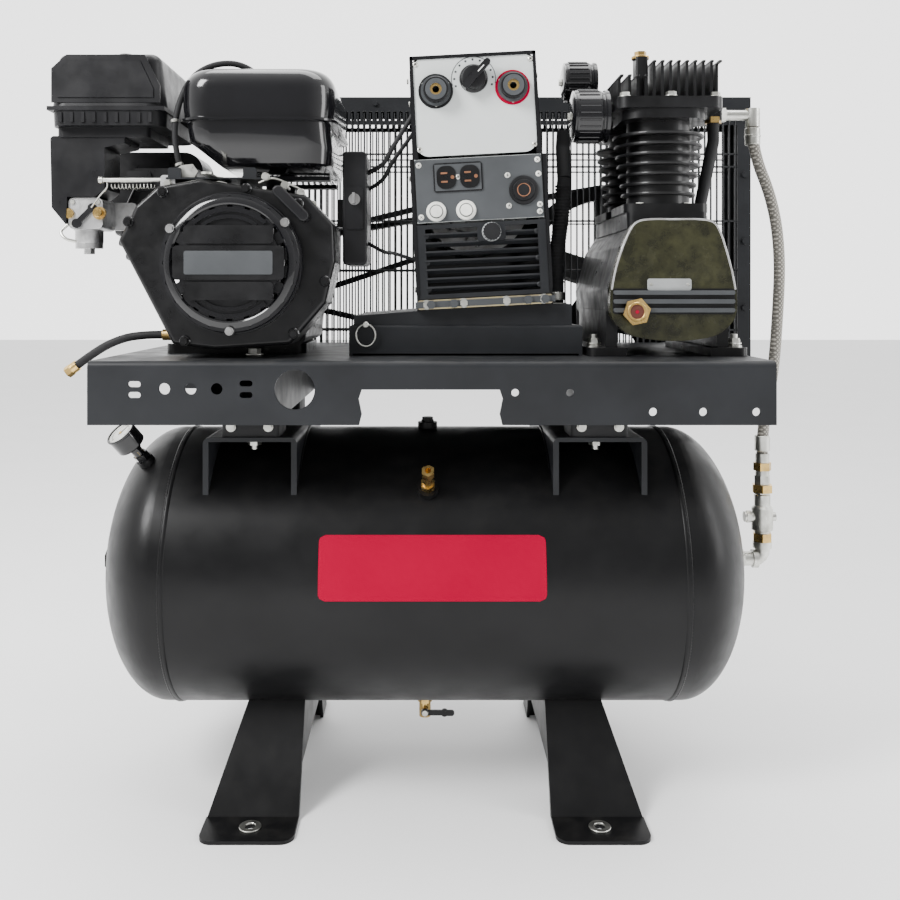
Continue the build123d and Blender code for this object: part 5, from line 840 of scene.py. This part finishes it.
ROLL = math.radians(3)
FOOT = Vector((85, 0, 706))
ACROSS = Vector((math.cos(ROLL), 0, math.sin(ROLL)))
UP = Vector((-math.sin(ROLL), 0, math.cos(ROLL)))
PANEL_Y = -143.0
SELECTOR_UP = 322
SOCKET_ACROSS, SOCKET_UP = 54, 307
DUPLEX_ACROSS, DUPLEX_UP = -29, 185
LOCKING_ACROSS, LOCKING_UP = 62, 162
BREAKERS = {"reset_left": -62, "reset_right": -20}
BREAKER_UP = 138
POINTER_ANGLE = 45


def panel(across, up, y=PANEL_Y):
    """Point on the welder's front, by its distance across and up from the foot."""
    return FOOT + ACROSS * across + UP * up + Y * y


def on_panel(shape, across, up, outline, depth, finish, bevel=0.4, y=PANEL_Y):
    """Flat shape raised from the welder's front."""
    shape.prism(panel(across, up, y), FRONT, outline, depth, finish, bevel, ACROSS)


def panel_screw(shape, across, up, y=PANEL_Y, finish="zinc"):
    """Pan head with a cross slot."""
    pan_head = ((4.0, 0), (4.0, 0.6), (3.1, 1.6), (1.6, 2.1), (0, 2.2))
    shape.turned(panel(across, up, y), FRONT, pan_head, finish, 20)
    turn = random.uniform(0, 90)
    for angle in (turn, turn + 90):
        bar = spun(rectangle(-2.4, 2.4, -0.35, 0.35), angle)
        shape.prism(panel(across, up, y - 1.8), FRONT, bar, 0.5, "knob_black", 0, ACROSS)


front = Shape()
for across in (-81, 81):
    for up in (226, 346):
        panel_screw(front, across, up)
    for up in (131, 204):
        panel_screw(front, across * 1.03, up, -143.6, "button_white")
for a, b in arc_points(27.0, 200, -20, 10):
    front.disc(panel(a, SELECTOR_UP + b), FRONT, 1.6, 0.25, "panel_dark", 0.05, 16)
arc_outline = arc_points(31.5, 195, -15, 30) + arc_points(30.5, -15, 195, 30)
on_panel(front, 0, SELECTOR_UP, arc_outline, 0.25, "panel_dark", 0.0)
front.piece("panel_screws")

sockets = Shape()
for side, finish in ((-1, "knob_black"), (1, "red")):
    centre = panel(side * SOCKET_ACROSS, SOCKET_UP)
    sockets.ring(centre, FRONT, 24.5, 15.4, 2.4, finish, 0.9, 56)
    sockets.ring(centre, FRONT, 17.6, 14.9, 18.6, "knob_black", 0.9, 56)
    for a, b in circle(20.6, 3, math.degrees(0.5)):
        sockets.disc(centre + ACROSS * a + UP * b + FRONT * 2.2, FRONT, 1.7, 0.7, "zinc", 0.2, 16)
    sockets.ring(centre + FRONT * 14.6, FRONT, 11.6, 4.7, 1.6, "brass", 0.5, 40)
sockets.piece("weld_socket_rings")

outlets = Shape()
on_panel(outlets, 0, 167.5, rounded(178, 88, 2), 0.7, "panel_dark", 0.2, -142.95)
on_panel(outlets, DUPLEX_ACROSS, DUPLEX_UP, rounded(69, 41, 4), 1.6, "knob_black", 0.6, -143.5)
for across in (DUPLEX_ACROSS - 16.5, DUPLEX_ACROSS + 16.5):
    on_panel(outlets, across, DUPLEX_UP, rounded(27, 32, 11), 2.8, "engine_black", 0.8, -144.6)
    for up in (DUPLEX_UP + 6, DUPLEX_UP - 6):
        on_panel(outlets, across - 3, up, rounded(9.2, 2.4, 0.4), 0.35, "copper", 0, -147.3)
    on_panel(outlets, across + 8.5, DUPLEX_UP, circle(2.6, 20), 0.35, "copper", 0, -147.3)
panel_screw(outlets, DUPLEX_ACROSS, DUPLEX_UP, -145.0)
centre = panel(LOCKING_ACROSS, LOCKING_UP, -143.5)
outlets.ring(centre, FRONT, 20.5, 15.0, 3.4, "knob_black", 0.9, 56)
outlets.disc(centre, FRONT, 15.4, 4.6, "knob_black", 0.8, 48)
outlets.ring(centre + FRONT * 4.2, FRONT, 9.4, 8.2, 0.9, "copper", 0.2, 36)
for k in range(3):
    start = 120 * k + 20
    outline = arc_points(13.2, start, start + 34, 8) + arc_points(11.4, start + 34, start, 8)
    outlets.prism(centre + FRONT * 4.5, FRONT, outline, 0.4, "engine_black", 0, ACROSS)
for across, up in ((40.5, 184), (84, 184), (40.5, 141), (84, 141)):
    panel_screw(outlets, across, up, -143.6, "button_white")
outlets.piece("outlet_faces")

breaker_rings = Shape()
for across in BREAKERS.values():
    breaker_rings.ring(panel(across, BREAKER_UP, -143.5), FRONT, 14.0, 8.6, 3.6, "button_white", 1.2, 44)
breaker_rings.piece("breaker_collars")

for body, across in BREAKERS.items():
    button = Shape()
    centre = panel(across, BREAKER_UP, -147.4)
    button.ring(centre, FRONT, 8.3, 4.2, 1.6, "button_white", 0.5, 40)
    button.disc(centre, FRONT, 4.3, 0.7, "knob_black", 0.2, 28)
    button.piece(body + "_face", body=body, slot="knob_black")

selector = Shape()
centre = panel(0, SELECTOR_UP, -143.6)
selector.turned(centre, FRONT, (
    (19.8, 0), (20.2, 1.0), (19.4, 3.4), (17.4, 5.0), (16.6, 12.0), (15.4, 14.0), (12.0, 14.8), (0, 15.0),
), "knob_black", 60)
pointer = ((-21, -3.8), (-14, -5.0), (19, -4.4), (24, 0), (19, 4.4), (-14, 5.0), (-21, 3.8))
selector.prism(centre + FRONT * 4, FRONT, spun(pointer, POINTER_ANGLE), 16.0, "knob_black", 1.2, ACROSS)
mark = spun(rectangle(8, 20, -0.7, 0.7), POINTER_ANGLE)
selector.prism(centre + FRONT * 20, FRONT, mark, 0.3, "white_ink", 0, ACROSS)
selector.piece("selector_grip", body="selector")

dial = Shape()
centre = panel(14, 106, -143.5)
dial.turned(centre, FRONT, ((13.2, 0), (13.6, 1), (12.6, 3), (12.2, 11.5), (10.8, 13.0), (0, 13.2)),
            "grey_ink", 48)
dial.ribs(centre + FRONT * 3, ACROSS, UP, 12.2, 18, 0.9, 9, "panel_dark", 0.3, 8)
mark = rectangle(-0.7, 0.7, 1, 10.5)
dial.prism(centre + FRONT * 13, FRONT, mark, 0.4, "white_ink", 0, ACROSS)
dial.piece("dial_cap", body="dial", slot="knob_black")

grille = Shape()
for up in (29, 66.5, 104):
    for across in (-78, 78):
        panel_screw(grille, across, up, -141.0, "deck_black")
on_panel(grille, 0, 8, rounded(188, 13, 2), 2.2, "zinc_yellow", 0.7, -142.0)
for across in (-82, -30, 30, 82):
    grille.bolt(panel(across, 8, -144.2), FRONT, 6, "zinc", True, across)
grille.piece("rail_nuts", slot="zinc")

edge = Shape()
for side in (-1, 1):
    for across, middle, tall in ((93.6, 116.5, 190), (86.6, 285.0, 144)):
        on_panel(edge, side * across, middle, rounded(4.6, tall, 1.4), 4.2, "gloss_black", 0.8, -140.5)
on_panel(edge, 0, 354.8, rounded(177, 5.0, 1.4), 4.2, "gloss_black", 0.8, -140.5)
edge.piece("casing_lip")

casing = Shape()
for side in (1, -1):
    for row in range(6):
        spot = panel(side * 96.2, 60 + 16 * row, -10)
        casing.prism(spot, ACROSS * side, rounded(120, 5.5, 2.6), 1.0, "deck_black", 0.3, Y)
    for y in (-110, 60):
        for half_width, up in ((95.8, 30), (95.8, 190), (91.6, 330)):
            casing.disc(panel(side * half_width, up, y), ACROSS * side, 4.2, 2.4, "zinc", 0.8, 20)
casing.piece("casing_sides")

HARNESS = (
    (Vector((-84, -100, 900)), Vector((-14, -120, 986))),
    (Vector((-84, -70, 880)), Vector((-16, -96, 960))),
    (Vector((-84, -90, 800)), Vector((-10, -120, 772))),
)
for sag, (start, end) in enumerate(HARNESS):
    middle = start.lerp(end, 0.5) + Vector((0, -16 - 5 * sag, -14 + 6 * sag))
    near_start = start.lerp(middle, 0.5) + Vector((6, -6, -8))
    near_end = middle.lerp(end, 0.6)
    curve(f"harness_{sag}", [start, near_start, middle, near_end, end], 3.4 - 0.4 * sag, "rubber")


# ---------------------------------------------------------------- pump

PUMP = Vector((340, 0, 751))
COVER = (
    (0, 77), (34, 77), (54, 73), (64, 58), (72, 34), (80, 4), (85, -26), (85, -50), (76, -68),
    (52, -84), (0, -90), (-54, -84), (-78, -68), (-87, -50), (-87, -26), (-82, 4), (-73, 34),
    (-63, 58), (-52, 73), (-32, 77),
)
COVER_BACK, COVER_FACE = -168.0, -183.0
HIGHLIGHT_RIM_SCALE, HIGHLIGHT_RIM_FOOT = 0.985, -22.0
PLATE = Vector((333, COVER_FACE - 1.4, 738))
SIGHT_GLASS = Vector((286, -196, 701))
CYLINDER_YS = (-88.0, 52.0)
HEAD_TOP = 1002.0
RELIEF = Vector((436, 14, 1014))
BREATHER = Vector((414, -44, 812))
CONDUIT = Vector((197, -50, 716))

cover = Shape()
cover_line = closed_curve(COVER)
cover.prism(on_front(PUMP, 0, 0, COVER_BACK), FRONT, cover_line, 16, "cover_olive", 5.0, X, 4)
cover.prism(on_front(PUMP, -1, -36, COVER_FACE), FRONT, rounded(166, 35, 4), 1.8, "casting_black", 0.6, X)
# The three ribs are drawn in a lighter grey than the black band: painted highlight for the light their
# rounded tops catch
for up in (-24, -36, -48):
    cover.prism(on_front(PUMP, -1, up, COVER_FACE - 1), FRONT, rounded(165, 6, 2.8), 5.5,
                "panel_dark", 2.2, X, 3)
# Painted highlight: a thin steel bar only along the cover's upper edge, standing for the light its rim
# catches; the lower edge gets none
below = [k for k, (a, b) in enumerate(cover_line) if b < HIGHLIGHT_RIM_FOOT]
highlight_rim_line = cover_line[below[-1] + 1:] + cover_line[:below[0]]
highlight_rim = [on_front(PUMP, a * HIGHLIGHT_RIM_SCALE, b * HIGHLIGHT_RIM_SCALE, COVER_FACE) for a, b in highlight_rim_line]
cover.pipe(highlight_rim, 1.6, "steel", 8, False)
cover.piece("cast_front_cover", stands_for=("pump_front_cover",), smooth=50)

pump = Shape()
pump.prism(PLATE, FRONT, rounded(60, 16, 3), 1.2, "grey_ink", 0.4, X)
for side in (-25, 25):
    pump.disc(PLATE + X * side + FRONT * 1.2, FRONT, 2.0, 0.9, "zinc", 0.3, 16)
pump.hexagon(SIGHT_GLASS, FRONT, 33, 3.4, "brass", 1.2, 12)
pump.ring(SIGHT_GLASS + FRONT * 3.4, FRONT, 13.2, 9.6, 2.0, "brass", 0.6)
pump.disc(SIGHT_GLASS + FRONT * 2.6, FRONT, 9.8, 1.0, "glass", 0.3)
pump.disc(SIGHT_GLASS + FRONT * 3.8, FRONT, 2.4, 0.4, "red", 0.1, 20)
for x in (PUMP.x - 100, PUMP.x + 100):
    for y in (-124, 76):
        foot = Vector((x, y, DECK_TOP + 16))
        pump.disc(foot, Z, 10.5, 1.8, "zinc", 0.4)
        pump.hexagon(foot + Z * 1.8, Z, 14, 6.5, "zinc", 0.7, y)
        pump.disc(foot + Z * 8, Z, 4.0, 5.0, "zinc", 0.7, 20)
pump.piece("pump_cover_bolts", slot="casting_black")

cylinders = Shape()
for centre_y in CYLINDER_YS:
    for k in range(7):
        radius = 52 + 2 * k
        z = 866 + 14 * k
        cylinders.turned((PUMP.x, centre_y, z - 0.2), Z, (
            (radius - 4, -0.1), (radius + 0.5, 0.6), (radius + 1.0, 2.2),
            (radius + 0.5, 3.9), (radius - 4, 4.5),
        ), "casting_black", 80)
    for dx, dy in ((-34, -34), (34, -34), (34, 34), (-34, 34)):
        cylinders.bolt((PUMP.x + dx, centre_y + dy, 851.5), Z, 6, "zinc", False, dx)
cylinders.piece("cylinder_fins")

head = Shape()
for k in range(13):
    x = 276 + 11.5 * k
    top = HEAD_TOP + (30 if k < 4 else 50)
    head.prism((x, -18, top - 1.6), Z, rounded(4.8, 262, 2.2, 4), 2.2, "casting_black", 0.8, X)
HEAD_BOLTS = (
    (282, -140), (345, -146), (408, -140), (282, 104), (345, 110), (408, 104), (282, -18), (408, -18),
)
for x, y in HEAD_BOLTS:
    head.bolt((x, y, HEAD_TOP), Z, 8, "zinc", True, x)
head.turned((308, -118, 1060), Z, ((12, 0), (12.5, 1), (12.5, 4), (11, 5), (0, 5)), "brass", 36)
head.hexagon((308, -118, 1065), Z, 15, 6, "brass", 0.8)
head.piece("head_fin_edges")

filters = Shape()
for x0, y, z, radius in ((214, -98, 982, 37), (218, 24, 1058, 30)):
    filters.turned((x0, y, z), X, (
        (0, -2.6), (radius - 10, -2.6), (radius - 6, -1.4), (radius - 1.5, 0.5), (radius + 0.6, 3),
        (radius + 0.9, 38), (radius - 1.4, 41), (radius - 1.4, 43.2), (radius + 0.8, 45), (radius + 0.6, 49),
        (radius - 4, 51),
    ), "gloss_black", 72)
    filters.ribs((x0 + 6, y, z), Y, Z, radius + 0.6, 24, 1.5, 30, "gloss_black", 0.6, 8)
    filters.bolt((x0 - 2.4, y, z), -X, 6, "zinc", True)
filters.piece("filter_canisters")

relief = Shape()
relief.hexagon(RELIEF, Z, 19, 8, "brass", 0.9)
relief.turned(RELIEF + Z * 8, Z, (
    (8.6, 0), (9.6, 1), (9.6, 14), (8.6, 16), (7.4, 17), (7.4, 21), (6.0, 22.4), (0, 22.4),
), "brass", 40)
relief.ribs(RELIEF + Z * 11, X, Y, 9.6, 16, 0.9, 9, "brass", 0.3, 8)
relief.piece("relief_body")

pipes = Shape()
pipes.hexagon((440, -22, 985.5), Z, 22, 9, "brass", 0.8)
pipes.ring(BREATHER, Z, 12.4, 8.8, 9, "zinc", 0.6)
pipes.ring(BREATHER + Z * 26, Z, 11.2, 8.8, 4, "zinc", 0.5)
pipes.ring(CONDUIT, Z, 14.2, 11.0, 12, "zinc", 0.8)
pipes.hexagon(CONDUIT - Z * 13, Z, 27, 9, "zinc", 1.0)
bend_z = 780
for k in range(30):
    z = 742 + 5.0 * k
    bent = max(0.0, (z - bend_z) / 60)
    place = (min(CONDUIT.x + 9 * bent, CONDUIT.x + 12), min(CONDUIT.y + 10 * bent, CONDUIT.y + 16), z)
    pipes.ring(place, Z, 11.9, 10.6, 2.4, "rubber", 0.5, 32)
pipes.piece("pipe_fittings", slot="zinc")


# ---------------------------------------------------------------- belt guard

GUARD_FACE = 252.0
WIRE_X0, WIRE_X1 = -308.0, 562.0
WIRE_Z0, WIRE_Z1 = 590.0, 1052.0
WIRE_PITCH = 11

wires = Shape()
for z in (978, 955, 857, 768, 660):
    wires.pipe([(WIRE_X0, GUARD_FACE + 0.5, z), (WIRE_X1, GUARD_FACE + 0.5, z)], 1.7, "deck_black", 10)
for k in range(int((WIRE_X1 - WIRE_X0) / WIRE_PITCH) + 1):
    x = WIRE_X0 + WIRE_PITCH * k
    wires.pipe([(x, GUARD_FACE - 1.2, WIRE_Z0), (x, GUARD_FACE - 1.2, WIRE_Z1)], 1.1, "deck_black", 6)
wires.piece("guard_wires")

guard = Shape()
side_bolts = [(x, z, 6.0, z) for x in (-323, 577) for z in (590, 700, 820, 940, 1050)]
top_bolts = [(x, 1069, 5.0, x) for x in (-220, -90, 40, 170, 300, 430)]
for x, z, washer, spin in side_bolts + top_bolts:
    guard.disc((x, GUARD_FACE, z), FRONT, washer, 1.2, "deck_black", 0.3, 28)
    guard.hexagon((x, GUARD_FACE - 1.2, z), FRONT, washer + 3, 3.6, "deck_black", 0.6, spin)
guard.piece("guard_bolts")

hubs = Shape()
hubs.bolt((340, 315, 751), Y, 12, "zinc", True)
hubs.piece("flywheel_bolt", body="pump_crank")


# ---------------------------------------------------------------- air fittings

GAUGE = Vector((-400.7, -104, 481.5))
GAUGE_AXIS = Vector((-0.472, -0.467, 0.747)).normalized()
GAUGE_LONG = 63.1
NEEDLE_ANGLE = -2.3
DISCHARGE_TOP, DISCHARGE_FOOT = Vector((508, 0, 956)), Vector((523, 0, 482))
DRAIN = Vector((0, -16.1, 82.8))

gauge = Shape()
gauge.ring(GAUGE + GAUGE_AXIS * 61.5, GAUGE_AXIS, 22.2, 18.8, 3.2, "gloss_black", 0.8, 64)
gauge.disc(GAUGE + GAUGE_AXIS * 62.2, GAUGE_AXIS, 19.0, 0.8, "button_white", 0.2, 56)
turn = basis(GAUGE_AXIS)
dial_middle = GAUGE + GAUGE_AXIS * GAUGE_LONG
needle_middle = dial_middle + GAUGE_AXIS * 0.3
for k in range(25):
    angle = math.radians(-135 + 270 * k / 24)
    along = turn @ Vector((math.sin(angle), math.cos(angle), 0))
    half = 2.1 if k % 4 == 0 else 1.1
    gauge.prism(dial_middle + along * 14, GAUGE_AXIS, rectangle(-0.3, 0.3, -half, half), 0.15,
                "knob_black", 0, GAUGE_AXIS.cross(along))
needle = turn @ Vector((math.sin(NEEDLE_ANGLE), math.cos(NEEDLE_ANGLE), 0))
gauge.prism(needle_middle, GAUGE_AXIS, ((-0.9, -4), (0.9, -4), (0.3, 12.5), (-0.3, 12.5)), 0.4,
            "knob_black", 0, GAUGE_AXIS.cross(needle))
gauge.disc(needle_middle, GAUGE_AXIS, 2.2, 1.1, "brass", 0.3, 24)
gauge.hexagon(GAUGE + GAUGE_AXIS * 18, GAUGE_AXIS, 14, 9, "brass", 0.7)
gauge.piece("gauge_dial")

hoses = Shape()
hoses.ring(DISCHARGE_TOP, Z, 11.6, 8.6, 26, "zinc", 1.0)
hoses.ring(DISCHARGE_TOP + Z * 12, Z, 12.4, 8.6, 3.4, "zinc", 0.5)
hoses.ring(DISCHARGE_FOOT, Z, 11.6, 8.6, 24, "zinc", 1.0)
for drop, flats, tall, spin in ((30, 24, 12, 0), (140, 26, 13, 15), (64, 28, 12, 15)):
    hoses.hexagon(DISCHARGE_FOOT - Z * drop, Z, flats, tall, "brass", 1.0, spin)
hoses.piece("hose_ferrules", slot="brass")

drain = Shape()
drain.prism(DRAIN + X * 38, FRONT, rounded(14, 9, 4), 2.2, "knob_black", 0.8, X)
drain.turned(DRAIN + FRONT * 0.9, FRONT, ((5.2, 0), (5.2, 1.6), (4.2, 2.8), (0, 3.0)), "zinc", 28)
drain.piece("drain_handle_grip", body="drain_handle")


# ---------------------------------------------------------------- floor and light


def studio_paint():
    """Very pale matt floor, faintly uneven."""
    made = Finish("floor", (0.93, 0.93, 0.93), 0.8, specular=0.1)
    made.color(made.mix(made.spread(made.noise(3, 4), 0.3, 0.7), (0.92, 0.92, 0.92), (0.94, 0.94, 0.94)))
    made.bump(made.noise(200, 2), 0.05, 0.1)
    return made.material


FLOOR_EDGES = (-12, 12, -6, 14)
SKY_FRONT, SKY_BACK = 0.45, 3.0

floor_mesh = bpy.data.meshes.new("floor")
floor_mesh.from_pydata([(x, y, 0) for x, y in rectangle(*FLOOR_EDGES)], [], [(0, 1, 2, 3)])
floor_mesh.materials.append(studio_paint())
floor = bpy.data.objects.new("floor", floor_mesh)
bpy.context.scene.collection.objects.link(floor)

# A white surround that is brighter behind the object than in front of it
world = bpy.data.worlds.new("studio")
world.use_nodes = True
sky = world.node_tree.nodes
direction = sky.new("ShaderNodeTexCoord")
parts = sky.new("ShaderNodeSeparateXYZ")
glow = sky.new("ShaderNodeMapRange")
glow.inputs["From Min"].default_value = -1
glow.inputs["To Min"].default_value = SKY_FRONT
glow.inputs["To Max"].default_value = SKY_BACK
world.node_tree.links.new(direction.outputs["Generated"], parts.inputs["Vector"])
world.node_tree.links.new(parts.outputs["Y"], glow.inputs["Value"])
world.node_tree.links.new(glow.outputs["Result"], sky["Background"].inputs["Strength"])
sky["Background"].inputs["Color"].default_value = (1, 1, 1, 1)
bpy.context.scene.world = world


def softbox(name, place, aim, width, height, power):
    """A rectangular lamp at a place, aimed at a point."""
    data = bpy.data.lights.new(name, "AREA")
    data.shape = "RECTANGLE"
    data.size = width
    data.size_y = height
    data.energy = power
    made = bpy.data.objects.new(name, data)
    made.location = place
    made.rotation_euler = (Vector(aim) - Vector(place)).to_track_quat("-Z", "Y").to_euler()
    bpy.context.scene.collection.objects.link(made)


softbox("key", (-1.7, -1.5, 2.3), (0, 0, 0.5), 0.8, 1.2, 110)
softbox("side", (2.2, -0.6, 1.3), (0.2, 0, 0.7), 0.6, 1.8, 26)
softbox("top", (0.1, 0.2, 2.8), (0, 0, 0.8), 2.2, 1.0, 40)
